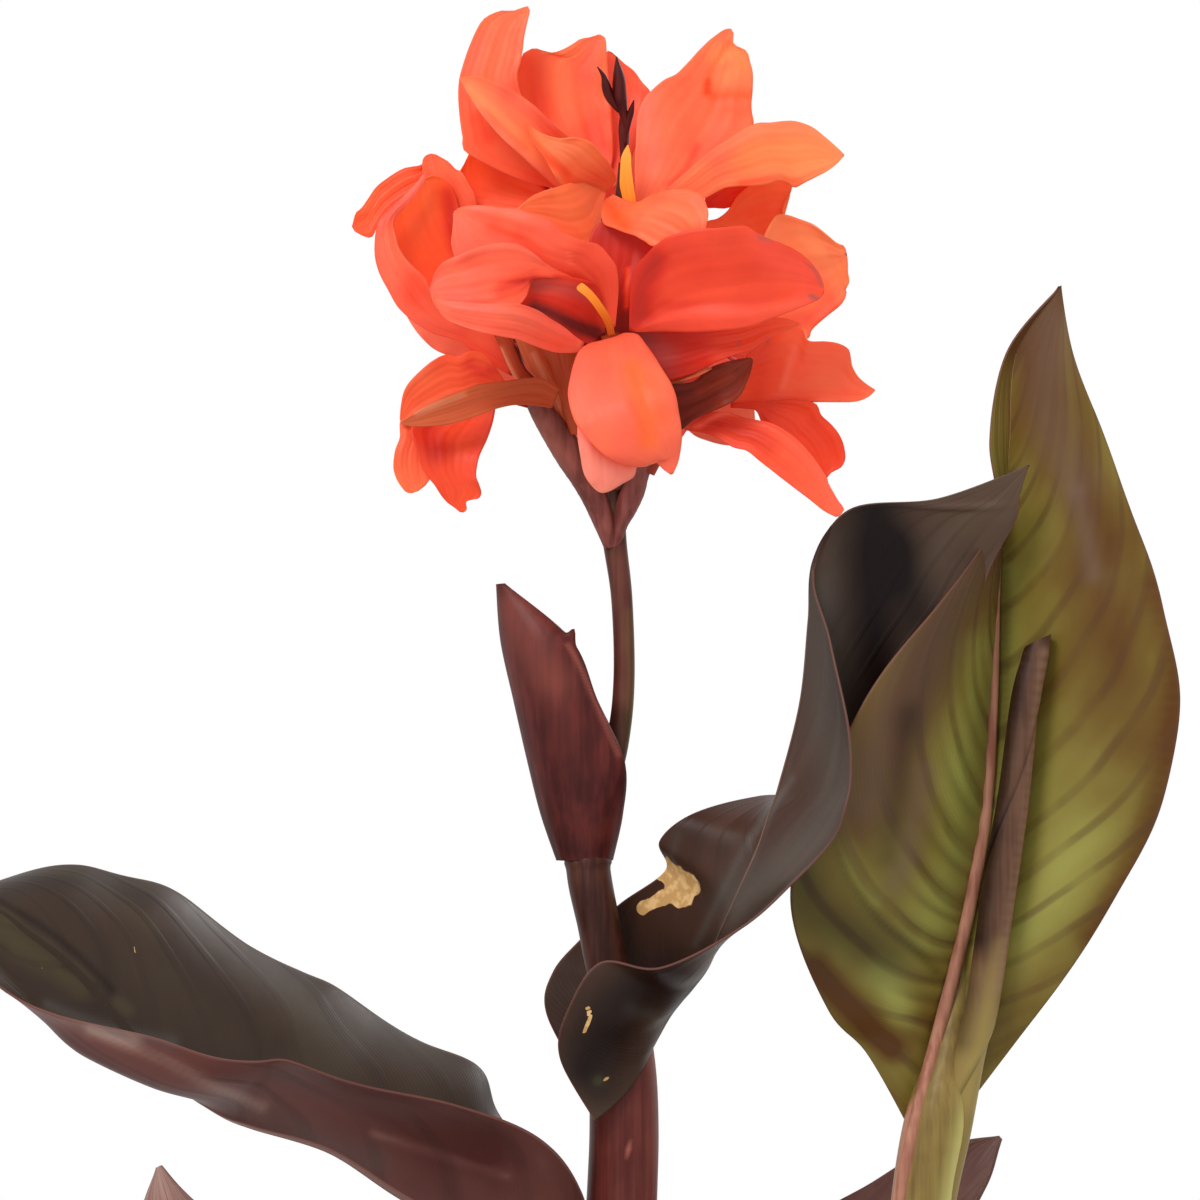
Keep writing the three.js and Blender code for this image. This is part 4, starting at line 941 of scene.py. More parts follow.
rolled = place_piece("rolled_blade", [rolled_shell()], ROLLED, "leaf_rolled", "leaf_rolled")
bract = place_piece("bract_sheath", [bract_shell()], BRACT, "bract", "bract")
print("rolled leaf", len(rolled.data.polygons), "faces, bract", len(bract.data.polygons), "faces")

# %% [markdown]
# ## Flowers
# What look like a canna's petals are broad, ruffled stamens. A petal is drawn by its two edges as they
# are seen from the front, from its root to its tip, in mm from the middle of the head. Marks are strokes
# that paint shade or a highlight on it, redden it or lift a fold towards the viewer. Depth is how far it lies behind
# the stalk.

# %% Petals
PETAL_HALF = 0.3  # half the thickness of a petal
PETAL_GRID = (50, 33)
VIEW = np.array([0.0, 1.0, 0.0])


def folds(rng, u, v, pleat, ruffle):
    """Soft lengthwise folds, and ruffles that grow towards the edge."""
    phase = rng.uniform(0, 2 * np.pi, 5)
    soft = 0.6 * np.sin(4.2 * v + phase[0] + u) + 0.4 * np.sin(9 * v + 2.4 * u + phase[1])
    fine = 0.22 * np.sin(23 * v + 3 * u + phase[4])
    frill = np.sin(13 * u + phase[2] + 1.7 * np.sign(v)) + 0.55 * np.sin(31 * u + phase[3] - v)
    return (pleat * (soft + fine) + ruffle * np.abs(v) ** 3 * frill) * np.sin(np.pi * u) ** 0.5


def petal(seed, left, right, depth, shade, blush, marks=(), bruises=(), tilt=0.0, cup=0.1, pleat=0.45, ruffle=0.6):
    """A petal between its left and right edges."""
    rows, columns = PETAL_GRID
    u, v = np.linspace(0, 1, rows), np.linspace(-1, 1, columns)[None, :]
    away = smooth_rows([[d] for d in depth], u)[:, 0]
    lean = tilt * np.sin(np.pi * u) ** 0.7
    near = at_depth(even_rows(left, rows) + HEAD[[0, 2]], away - lean)
    far = at_depth(even_rows(right, rows) + HEAD[[0, 2]], away + lean)
    middle, half = (near + far)[:, None] / 2, (far - near)[:, None] / 2
    width = np.linalg.norm(half, axis=-1)
    rise = folds(np.random.default_rng(seed), u[:, None], v, pleat, ruffle) * np.minimum(width / 8, 1)
    rise -= cup * width * (1 - v * v)
    grid = middle + half * v[..., None]
    flat = seen_flat(grid.reshape(-1, 3)) - HEAD[[0, 2]]
    tone = shade[0] + (shade[1] - shade[0]) * np.repeat(u ** 0.8, columns)
    pink = np.full(len(flat), float(blush))
    for points, size, *amounts in marks:
        darker, pinker, lift = (*amounts, 0, 0)[:3]
        near_it = stroke(flat, points, size)
        tone, pink = tone + darker * near_it, pink + pinker * near_it
        rise = rise + lift * near_it.reshape(rows, columns)
    shell = sheet(grid - VIEW * rise[..., None], PETAL_HALF)
    spots = sum((amount * stroke(flat, points, size) for points, size, amount in bruises), np.zeros(len(flat)))
    for name, layer in (("shade", tone), ("blush", pink), ("bruise", spots)):
        shell.paint[name] = np.concatenate([layer, layer])
    return shell


# Each flower in view: its petals, as [left edge, right edge, what else petal() is told].
SEEN_FLOWERS = {
    "top_left": [
        dict(left=[(0, 42), (-4, 70), (-3, 92.5), (0.6, 92)], right=[(4, 45), (9, 60), (13.5, 74), (13.9, 78.5), (11, 82),
             (8, 86), (4, 89), (1, 91.8)], depth=(4, 18, 22), shade=(0.5, 0.3), blush=0.6),
        dict(left=[(-3, 45), (-22, 56), (-33, 72), (-36, 84), (-34, 92.5), (-32, 94), (-29.4, 94.8), (-24, 93.2),
             (-19.4, 94.2), (-15, 96.6), (-12.5, 98.3), (-9, 99), (-5.5, 100)],
             right=[(-3, 45), (0, 55), (-1, 75), (-2, 86), (-2.5, 93), (-3, 98.5), (-5, 100)],
             depth=(4, 12, 14), shade=(0.5, 0.22), blush=0.3,
             marks=[([(-32, 90), (-29, 80), (-27, 70)], 5, 0.14), ([(-20, 88), (-17, 75), (-15, 68)], 5, -0.1, 0, 0.6),
                    ([(-7, 97), (-10, 85)], 4, 0.02, 0.5), ([(-8, 66), (-6, 58)], 4, 0.12)]),
        dict(left=[(-8, 42), (-30, 44), (-54, 55), (-56.6, 62), (-58, 73), (-58, 82), (-56.6, 88), (-53.8, 96), (-50, 104),
             (-47, 107), (-42, 109), (-38, 108.8), (-35, 109.8), (-32.4, 110.6)],
             right=[(-8, 42), (-22, 60), (-33, 74), (-36, 84), (-35, 89), (-34, 94), (-33.4, 99.5), (-32.2, 105),
             (-31.3, 109), (-32, 110.6)], depth=(2, -6, 0), shade=(0.45, 0.2), blush=0.5,
             marks=[([(-50, 69), (-47, 62)], 4, 0.16), ([(-38, 87), (-36, 80)], 3, 0.1),
                    ([(-50, 98), (-54, 84), (-54, 74)], 3, -0.04, 0.2)]),
        dict(left=[(-8, 50), (-15, 60), (-19, 63.5), (-23, 67), (-28, 72), (-33, 76), (-38, 79.2), (-43, 81.5),
             (-48, 83.6), (-53, 84.5), (-57.4, 83.8)], right=[(-6, 42), (-12, 40), (-20, 42), (-26, 47), (-31, 51.5),
             (-36, 56), (-41, 60.5), (-46, 66), (-50, 71), (-54, 77), (-57.4, 83.2)], depth=(-4, -18, -18),
             shade=(0.35, 0.2), blush=0.35,
             marks=[([(-53.3, 78.8), (-38, 64.4), (-29, 54.5), (-18.2, 44.6)], 2.6, -0.14, -0.2, 0.7),
                    ([(-51.5, 72.5), (-38, 59), (-22.7, 44.6)], 1.8, -0.08, 0.3, 0.4),
                    ([(-48, 71), (-40, 63), (-33, 57)], 1.8, 0.08, 0, -0.5), ([(-40, 78), (-30, 71), (-22, 65)], 4, 0.06, 0.4)]),
        dict(left=[(0, 44), (1, 46), (-0.5, 50), (-4, 55.3), (-9, 60), (-14, 61.4), (-20, 61), (-26, 62.5), (-30, 65),
             (-32.8, 67.6)], right=[(-3, 41), (-8, 42), (-14, 42), (-19, 43), (-22, 47), (-26, 54), (-29, 58), (-31.5, 62),
             (-32.9, 67)], depth=(-8, -24, -24), shade=(0.4, 0.14), blush=0.15,
             marks=[([(-32, 67), (-31, 62), (-26, 55), (-18, 48)], 2, 0.22, 0, -0.6),
                    ([(-20, 57), (-12, 56), (-4, 52)], 4, -0.1, 0.1, 0.6), ([(-16, 45), (-6, 46)], 3, 0.1)]),
        dict(left=[(-3, 40), (-4.5, 32), (-5.5, 22), (-14, 20), (-24, 26), (-34, 31), (-36, 35)], right=[(-3, 46), (-10, 46),
             (-16, 44.5), (-21, 43), (-27, 41), (-31, 39), (-35, 35.5)], depth=(-8, -22, -28), shade=(0.35, 0.2), blush=0.12,
             marks=[([(-4.5, 40), (-5, 28)], 1.5, -0.08, 0.2), ([(-14, 26), (-26, 30)], 2, 0.1)]),
    ],
    "top_right": [
        dict(left=[(8, 36), (8.2, 42), (8, 50), (8.5, 60), (9, 70), (11.5, 76), (13.9, 78.7), (17, 81.5), (19.7, 83.4),
             (23.3, 85), (26, 87.5), (29, 90.6), (32, 94), (35.5, 97.5), (38, 99.5), (41.3, 101.8), (43.6, 102.3)],
             right=[(14, 34), (24, 40), (38, 50), (48, 58), (52.5, 66), (52.1, 70), (51.8, 74), (52.3, 80), (52.3, 86),
             (51.2, 90), (50.3, 93.3), (48.5, 94.6), (46.8, 95.2), (45, 96.6), (44.9, 98.5), (45.3, 100), (44.2, 102.2)],
             depth=(-16, 0, 4), shade=(0.36, 0.22), blush=0.45, cup=0.08,
             marks=[([(12, 74), (13, 62), (15, 50)], 6, -0.14, 0.35), ([(42, 84), (48, 88), (46, 92), (40, 92)], 5, -0.14, -0.4),
                    ([(43.8, 96.6), (37.2, 87.7), (35.5, 83)], 1.2, 0.1, -0.2, -0.5), ([(35.3, 82), (35.3, 78.5)], 1.5, 0.35, -0.5),
                    ([(38, 76.5), (44, 77), (51, 77)], 1.8, 0.14, -0.3, -0.6), ([(39, 73), (48, 72)], 4, 0.08),
                    ([(31.6, 57.7), (27.8, 49.2), (21.3, 43.6)], 1.6, 0.14, 0.2, -0.6), ([(22, 78), (26, 66), (28, 58)], 4, 0.03, 0, 0.5)]),
        dict(left=[(20, 42), (36, 56), (45, 62), (52.9, 66.5), (59, 67), (64.4, 67.6), (68.7, 67.4), (74.5, 65.3),
             (79.5, 61.4), (83.9, 57.6), (86.6, 55)], right=[(26, 36), (33, 38), (40.6, 42), (45, 43), (55.7, 43.5), (62, 45),
             (66, 44), (68, 42.6), (71.6, 44.4), (75.9, 46.6), (80.2, 48.8), (83.9, 51.7), (86.4, 54.6)],
             depth=(-14, -6, -2), shade=(0.3, 0.04), blush=0.3, cup=-0.05,
             marks=[([(70, 44.5), (58, 45.6), (48, 44)], 1.8, 0.2), ([(50, 56), (64, 56), (78, 55)], 7, -0.05, -0.4),
                    ([(38, 54), (50, 62)], 4, 0.04, 0.3)]),
        dict(left=[(0, 40), (4, 38), (9, 37), (14, 39.5), (20, 41.5), (27, 42), (31, 41), (33.5, 39.5), (35, 36), (35.6, 33),
             (35, 29), (34, 25.5), (31.5, 21)], right=[(-3, 38), (-4.5, 33), (-3.5, 29), (0, 27.5), (4.5, 25.7), (8, 24.6),
             (10, 23.4), (12, 22.4), (14, 20.8), (16.5, 20.4), (19, 19.7), (22, 20.2), (24.5, 19), (27, 19.4), (31, 20.6)],
             depth=(-22, -42, -50), shade=(0.34, 0.24), blush=0.35, cup=-0.15, pleat=0.6,
             marks=[([(-2, 36), (1, 32), (4, 29)], 3, 0.16, -0.4), ([(33, 36), (33, 28)], 2.5, -0.08, 0.2),
                    ([(12, 32), (22, 34), (30, 30)], 3.5, -0.05, 0, 0.8), ([(16, 38), (26, 38)], 2.5, 0.05, 0, -0.5)]),
    ],
    "right": [
        dict(left=[(34, 35), (35, 40), (40, 45), (50, 46)], right=[(34, 35), (38, 35), (43, 35), (50, 38), (52, 44)],
             depth=(14, 16, 18), shade=(0.75, 0.55), blush=0.2),
        dict(left=[(30, 26), (35, 30), (39, 31), (43, 34), (47, 40), (54, 45), (62, 46), (67, 43.5), (65.5, 40),
             (64, 37), (63, 33.5)], right=[(30, 20), (45, 19), (56, 20), (62, 25), (64, 31)], depth=(10, 14, 14),
             shade=(0.36, 0.24), blush=0.1, marks=[([(44, 32), (56, 34)], 3, 0.08)]),
        dict(left=[(50, 0), (55, 20), (60, 31), (63.8, 32.6), (70, 30.8), (75, 28.7), (80.5, 24.5), (84, 21.7), (86.5, 20.7),
             (87.4, 17)], right=[(56, -14), (66, -15), (72.9, -14), (74.3, -11), (77, -8.2), (81.2, -4.7), (84.7, -1.9),
             (86.8, 0.8), (87.5, 3.8), (87.2, 4.5), (88.4, 7.1), (87.9, 10.6), (87.6, 16)], depth=(6, 8, 8),
             shade=(0.2, 0.08), blush=0.2, tilt=3,
             marks=[([(66, -8), (74, -6), (82, -1)], 5, 0.2, 0.5), ([(77, 7), (79, 4)], 3, 0.1),
                    ([(68, 26), (78, 16)], 3, -0.04, 0, 0.6)], bruises=[([(87.4, 4.3)], 0.8, 0.8)]),
    ],
    "front": [
        # A maroon sheet behind the front flower's throat: painted shade that fills the dark hollow between its petals.
        dict(left=[(-12, -22), (-12, 0), (-10, 14), (-8, 26), (-2, 32)], right=[(10, -22), (12, 0), (18, 12), (20, 24), (12, 31)],
             depth=(-28, -30, -26), shade=(1, 0.66), blush=0.1, marks=[([(5.5, 12), (5, -2)], 0.9, -0.35, -0.6)],
             bruises=[([(-4, 28), (6, 24)], 6, 0.3)]),
        dict(left=[(0.7, -9.6), (1.4, -3.3), (2, 3.6), (1.7, 10.6), (0.7, 14), (-2, 17.6), (-5.6, 21.4), (-12, 22.8),
             (-18.8, 26), (-23.7, 30.5), (-30, 32.6), (-35.6, 34.6), (-41, 34.9), (-49.5, 35.9), (-57.2, 35.3), (-59.7, 33.6)],
             right=[(-4, -10), (-20, 2), (-40, 8), (-56, 12), (-60.5, 20), (-60.3, 27), (-59.9, 33)], depth=(-36, -50, -46),
             shade=(0.5, 0.26), blush=0.75, cup=0.1,
             marks=[([(-57, 30), (-57, 20)], 5, -0.05, 0.2), ([(-52, 34.5), (-42, 33), (-32, 30), (-25, 28)], 2, -0.06, 0.1, 0.8),
                    ([(-45, 27), (-42, 25), (-35.6, 22.4), (-30, 18.3), (-25, 14.8), (-20, 10.6), (-14, 7)], 3, 0.14, 0, -0.8),
                    ([(-12, 16), (-6, 10)], 6, 0.12), ([(-17, 18.5), (-16, 14)], 0.5, -0.2)]),
        # The tongue deep in the front flower's throat: its dark red is partly painted shade, and its lower edge is
        # darkened as painted shade.
        dict(left=[(-3, -12), (-5, 4), (-11, 8), (-20, 9.5), (-30, 9), (-38, 7), (-43, 3)], right=[(-8, -16), (-14, -15),
             (-20, -12.5), (-26, -9), (-32, -6), (-38, -3.5), (-44, -1)], depth=(-36, -48, -50),
             shade=(0.8, 0.6), blush=0.1, cup=0.2, marks=[([(-30, -2), (-22, -5), (-14, -9), (-6, -12)], 3, 0.3)],
             bruises=[([(-30, 6), (-20, 5), (-10, 3)], 3, 0.35)]),
        dict(left=[(-6, 5), (-12, 8), (-16, 10), (-20, 11), (-25, 14), (-30, 18), (-35, 21), (-39.7, 21.9), (-46.7, 21.5),
             (-52, 19.8), (-58, 17.2), (-63.4, 14.9), (-66.9, 10.6), (-68.6, 5)], right=[(-6, 3), (-12, 6), (-20, 8.6),
             (-28, 8.6), (-31, 7), (-32, 3), (-36, -2), (-44, -5), (-52, -6), (-60, -5), (-66, -2.6), (-68.6, 3.6)],
             depth=(-40, -57, -56), shade=(0.42, 0.28), blush=0.75, tilt=-2,
             marks=[([(-60, 15), (-52, 19), (-42, 20.5), (-35, 19.5), (-28, 16)], 1.6, -0.06, 0.2, 0.8),
                    ([(-42, 4), (-36, 6), (-30, 8)], 3, 0.25, -0.2), ([(-66, 5), (-56, 4)], 4, -0.05, 0.2),
                    ([(-55, 14), (-45, 13), (-35, 11)], 3, 0.06, 0, -0.5),
                    ([(-41.7, 7.1), (-31.6, 8.1), (-21.5, 9.1), (-11.4, 7.1), (-5.3, 5.1)], 0.9, 0.25)]),
        dict(left=[(-12, -18.5), (-15.3, -19.2), (-22.3, -19), (-30, -16.6), (-35.6, -14.4), (-41.8, -13.2), (-49.5, -11.6),
             (-58, -9), (-63.5, -6), (-67, -0.4)], right=[(-11, -15.5), (-14.6, -13), (-18.8, -9.6), (-23.7, -6.5),
             (-28.6, -3.3), (-35.6, -0.9), (-41, -0.8), (-45, -1), (-52, -0.6), (-60, 0), (-67, 1)], depth=(-42, -64, -60),
             shade=(0.36, 0.3), blush=0.85, cup=-0.15,
             marks=[([(-60, -2), (-45, -3), (-30, -7), (-16, -13)], 1.6, -0.05, 0.2, 0.7), ([(-60, -6), (-40, -10), (-20, -17)], 2, 0.06)]),
        dict(left=[(20, -30), (30, -27), (40, -22), (52, -18), (58, -14), (70, -9)], right=[(8, -11), (20, -10), (40, -9),
             (60, -6), (70, -8)], depth=(-34, -42, -36), shade=(0.9, 0.36), blush=0.4,
             bruises=[([(12, -14), (20, -20)], 5, 0.4), ([(58, -15)], 1.0, 0.6), ([(47, -16)], 1.0, 0.5)]),
        dict(left=[(6, -11), (6, -4), (6.5, 6), (9, 14), (12, 17), (14, 19.5), (20, 24), (28, 26.5), (35, 27.3), (40, 27.5),
             (45, 28), (50, 28.2), (54, 25.6), (58.2, 23.6), (64.5, 21.2), (69.4, 18.6), (73, 15.8), (76.4, 12), (78.4, 8.5),
             (79, 5)], right=[(8, -11.5), (19, -11.3), (30, -11.6), (40, -11), (50.6, -9.8), (58, -7.2), (66, -4), (73.6, -1),
             (78, 1.5), (79, 4)], depth=(-38, -54, -46), shade=(0.58, 0.48), blush=0.65, tilt=2,
             marks=[([(10, -5), (12, 8), (16, 16)], 6, 0.22), ([(55, 22), (66, 14), (72, 10)], 5, -0.06, 0.3),
                    ([(12, -9.5), (29.6, -6), (40, -5.5), (50.6, -5), (62, -2.5), (72, -0.5)], 2.6, -0.08, 0.3, 1.2),
                    ([(20, -2), (36, -1), (54, 0), (66, 2)], 2, 0.07, 0, -0.5), ([(30, 12), (50, 12)], 8, 0.06, -0.2)],
             bruises=[([(55, 24), (58, 23.5)], 1.2, 0.6), ([(73, 14), (76, 11), (78, 6)], 0.8, 0.5),
                      ([(74, 2), (77, 0.5), (78.6, -1)], 1.0, 0.7)]),
        dict(left=[(-10, -30), (-13, -44), (-13.4, -50), (-12.2, -58.4), (-10.8, -65), (-7.8, -69.4), (-4.9, -71.6), (-2, -71.2)],
             right=[(4, -30), (9, -50), (9, -58), (8.7, -62), (7.6, -65.7), (3.9, -67.9), (1.2, -69.5), (-1.2, -71)],
             depth=(-40, -56, -54), shade=(0.06, 0), blush=0.95, cup=-0.1,
             marks=[([(-12.5, -44), (-9.3, -50), (-4.9, -55.4), (-0.5, -59), (6, -61.3)], 1.8, 0.25, -0.2)]),
        dict(left=[(-3, -15), (-9, -16), (-13, -19), (-15, -24), (-16.2, -29), (-17, -34), (-16.6, -38), (-15.6, -42),
             (-14.2, -45.5), (-12, -49), (-9.3, -52), (-4.9, -56.4), (-0.5, -59.6), (4, -61.3), (8, -62), (12.7, -61.6),
             (15.6, -59.9), (18.6, -62.8), (21.6, -65)], right=[(4, -12), (9, -12.5), (12, -16), (15.6, -21), (18, -25),
             (20, -28), (22, -31.5), (23.6, -36), (24.4, -41), (25.3, -46), (25.7, -51), (25.3, -55), (24.4, -60), (22.4, -64.6)],
             depth=(-40, -66, -62), shade=(0.34, 0.26), blush=0.75, cup=-0.12, pleat=0.5,
             marks=[([(8, -26), (11, -40), (13, -52)], 4, 0.06, -0.8, -0.8), ([(16, -30), (18, -44)], 3, 0.04, -0.4),
                    ([(-12, -24), (-13, -40)], 4, -0.08, 0.2)]),
    ],
    "left": [
        dict(left=[(-22, 34), (-35, 33), (-50, 34), (-60, 36), (-60, 44), (-57.5, 49), (-56, 51.5), (-54, 55.5)],
             right=[(-22, 38), (-24, 43), (-30, 50), (-38, 57), (-48, 58), (-53, 56)], depth=(4, 8, 8), shade=(0.5, 0.38), blush=0,
             marks=[([(-41, 56), (-34, 50.5), (-28, 45.5), (-22.7, 40)], 1.0, 0.55, 0, -0.6)]),
        dict(left=[(-50, 22), (-68, 46), (-72, 42), (-80, 37), (-85, 33), (-88.5, 28), (-90.5, 24.2), (-93.4, 24.3), (-97, 26.4)],
             right=[(-50, 30), (-66, 52), (-69, 53), (-72.4, 51), (-75.6, 50.5), (-78.8, 49.8), (-83.8, 46.9), (-88.8, 43),
             (-91.9, 38.6), (-94.4, 35), (-96.6, 33), (-98, 28)], depth=(4, 0, -4), shade=(0.42, 0.38), blush=0.35,
             marks=[([(-92, 34), (-84, 42), (-76, 47)], 2, -0.06, 0, 0.6)]),
        dict(left=[(-50, 20), (-60, 30), (-68, 38), (-71, 46), (-71.6, 52), (-70.5, 54.5), (-68, 55.4)], right=[(-44, 20),
             (-50, 32), (-52, 40), (-56.5, 48), (-59, 49.5), (-62, 52.4), (-66.6, 55)], depth=(0, -2, 0), shade=(0.4, 0.3),
             blush=0.45, marks=[([(-60, 46), (-58, 36)], 2.5, 0.08)]),
        dict(left=[(-40, -8), (-50, -4), (-62, 0), (-71, 4), (-77, 10), (-82, 17), (-85, 25), (-85, 31), (-81, 37), (-74, 43)],
             right=[(-38, 2), (-45, 10), (-52, 20), (-57, 32), (-60, 42), (-66, 47), (-71, 46)], depth=(-6, -4, -5),
             shade=(0.58, 0.36), blush=0, cup=0.1, marks=[([(-62, 40), (-60, 30), (-58, 20)], 4, 0.3, 0, -0.5)]),
        dict(left=[(-38, -28), (-45, -24), (-54.4, -17.3), (-56.5, -15.2), (-60.7, -13.9), (-67.6, -12), (-71.8, -9.6),
             (-76, -6.8), (-80.9, -1.9), (-84.4, 4.3), (-87.5, 9.9), (-89.3, 16), (-89.5, 22), (-88.6, 28), (-85, 34), (-79, 39),
             (-74, 44), (-70.6, 48.5)], right=[(-36, -16), (-45, -12), (-60, -4), (-68, 4), (-70.4, 8.8), (-74.6, 12.7),
             (-77, 15), (-80.2, 19.7), (-81.6, 24.6), (-82.6, 29.4), (-81, 33), (-76, 38), (-71.4, 44), (-70, 48)],
             depth=(-10, -18, -10), shade=(0.4, 0.3), blush=0.75, cup=-0.12,
             marks=[([(-88, 28), (-84, 34), (-79, 38), (-74.6, 42), (-71, 47)], 2.6, -0.02, 0.4, 1.0),
                    ([(-75, 8), (-76, 2)], 4, 0.12), ([(-60, -10), (-74, -5), (-84, 8)], 3, -0.04, 0, 0.6),
                    ([(-86, 33), (-80, 39)], 1.0, 0.3)]),
    ],
    "low_left": [
        dict(left=[(-36, -36), (-42, -28), (-46, -22), (-50, -19), (-54, -18.8), (-58.4, -20.8), (-62.8, -19.9), (-67.2, -22),
             (-71.6, -25.4), (-76, -29.8), (-78.6, -34), (-79.7, -39.3), (-79.9, -44)], right=[(-36, -38), (-44, -36),
             (-56, -40), (-67, -44), (-75, -46), (-79.6, -46)], depth=(-14, -21, -25), shade=(0.42, 0.34), blush=0.35,
             marks=[([(-76, -30), (-70, -26)], 4, -0.1), ([(-54, -24), (-49, -27), (-46, -26)], 2, 0.1, 0.6)]),
        dict(left=[(-60, -40), (-76, -42), (-79.9, -45), (-80, -51), (-81.9, -56.2), (-82.5, -62), (-81.5, -66), (-80, -68.8),
             (-77.5, -71.6), (-74.6, -71.7), (-72, -70)], right=[(-56, -42), (-66, -46), (-68, -55), (-68, -62), (-69, -67),
             (-71.6, -69.6)], depth=(-16, -24, -24), shade=(0.34, 0.28), blush=0.35),
        dict(left=[(-58, -40), (-75, -46), (-74, -55), (-72, -62), (-68.7, -66.8), (-66.9, -68.8), (-64.3, -73), (-62, -75.6),
             (-59.9, -77), (-57.5, -79)], right=[(-44, -38), (-45.2, -45.2), (-47.4, -51.8), (-50.4, -58.4), (-51.5, -65),
             (-50.3, -69), (-49.5, -72), (-50.5, -73.9), (-52.6, -74.2), (-55.2, -75.2), (-55, -78), (-56.3, -79.2)],
             depth=(-18, -30, -28), shade=(0.5, 0.5), blush=0.35,
             marks=[([(-70, -48), (-66, -56)], 6, 0.2), ([(-46, -46), (-50, -57), (-52, -66)], 3, 0, 0.4, 0.5)]),
    ],
    "low_right": [
        dict(left=[(44, -38), (60, -38.5), (76, -37.8), (82, -37.8), (90.6, -37.6), (95.4, -36), (98.2, -33.4)],
             right=[(50, -20), (60, -12), (66, -9), (71, -10), (73, -14.7), (79.8, -15), (84.6, -15.8), (88.2, -17.9), (89, -21),
             (89.4, -24), (91.5, -28), (94.8, -31), (98, -33)], depth=(-12, -16, -18), shade=(0.4, 0.32), blush=0.5,
             marks=[([(67.6, -17.6), (63, -32)], 1.5, -0.1, 0.2, 0.8), ([(56, -14), (56, -26), (55, -34)], 7, 0.12),
                    ([(68, -35), (80, -35), (92, -34.5)], 2, 0.06)], bruises=[([(58, -15)], 0.9, 0.7)]),
        dict(left=[(44, -40), (49.5, -40.3), (53.5, -41), (56, -46), (61, -51), (67, -56), (73, -63), (78, -67)], right=[(44, -38), (54, -37.6), (62, -37), (70, -37),
             (76, -38.6), (77.9, -42.5), (81.6, -46), (84.6, -49.7), (86.4, -53.9), (87, -58.7), (85.8, -61.7), (84, -63),
             (82, -64), (80, -66.2)], depth=(-14, -18, -18), shade=(0.62, 0.56), blush=0.2),
        dict(left=[(27, -48.4), (34, -49.4), (40, -51.8), (45, -54.8), (50, -56), (55, -60), (59.5, -63.5), (64, -67),
             (68.5, -70.4), (73, -73.7), (79, -78.5), (83.5, -80.8)], right=[(26, -46), (34, -42), (42, -41.5), (49, -43.5),
             (54, -44.5), (60, -46), (68, -51), (75, -58.5), (80, -66), (80.6, -68), (82, -70.7), (84.5, -75), (86.6, -78),
             (84.5, -80.6)], depth=(-16, -26, -28), shade=(0.6, 0.34), blush=0.55,
             marks=[([(36, -46), (48, -48), (58, -54)], 4, 0.14), ([(31.6, -46.5), (40, -42), (49, -41)], 1.2, -0.25, 0.5, 0.8),
                    ([(57, -48), (66, -53), (74, -61), (80, -68), (84, -76)], 3, -0.06, 0.2, 0.7)]),
    ],
}
# The narrow true petals in view, and the strap-shaped styles, drawn in the same way.
TRUE_PETALS = {
    "left": [
        dict(left=[(-24, -48), (-34, -32), (-38, -27), (-42.5, -17), (-46, -10)], right=[(-21, -46), (-27, -32), (-33, -25),
             (-36.5, -17), (-41, -9)], depth=(-9, -13, -14), shade=(0.6, 0.6), blush=0, cup=-0.3,
             marks=[([(-42, -18), (-37.5, -27), (-34, -33)], 1.2, -0.5), ([(-36.5, -17), (-32.6, -25), (-26.7, -32), (-21, -44)], 1, 0.5)]),
        dict(left=[(-20, -46), (-26, -32), (-32, -25), (-36, -16), (-38, -10)], right=[(-14, -48), (-18, -40), (-21, -32),
             (-25, -22), (-30, -12)], depth=(-10, -15, -16), shade=(0.35, 0.35), blush=0, cup=-0.3,
             marks=[([(-30, -20), (-24, -32), (-21, -40)], 1.2, -0.2)]),
        dict(left=[(-16, -50), (-20, -38), (-24, -26), (-29, -14)], right=[(-10, -50), (-12, -36), (-13, -24), (-14, -12)],
             depth=(-12, -14, -16), shade=(0.5, 0.5), blush=0, cup=-0.3),
    ],
    "low_left": [
        dict(left=[(-23, -40), (-31, -39), (-38, -39), (-44.5, -40.5), (-54, -44), (-63.6, -46.4), (-74.6, -47), (-79.8, -46)],
             right=[(-20, -33), (-26, -29), (-32, -28.8), (-40, -29.8), (-50.4, -31), (-56.3, -33), (-67.2, -37.4), (-74.6, -42), (-79.6, -45.4)],
             depth=(-22, -36, -41), shade=(0.5, 0.4), blush=0, marks=[([(-74, -42), (-64, -38), (-56, -35)], 1.4, -0.22, 0, 0.5)]),
    ],
    "low_right": [
        dict(left=[(26, -48), (31, -44), (40, -40), (47, -36), (51, -28), (52.4, -22)], right=[(22, -31), (30, -30), (36, -25),
             (45, -22), (51.6, -21)], depth=(-22, -31, -33), shade=(0.95, 0.8), blush=0, marks=[([(32, -34), (44, -28)], 1.5, -0.1)]),
    ],
    "front": [
        dict(left=[(20, -31), (26, -30), (32, -28), (37, -25.4)], right=[(20, -27), (26, -25), (32, -24.6), (36.6, -24.8)],
             depth=(-32, -36, -38), shade=(0.6, 0.4), blush=0),
    ],
}
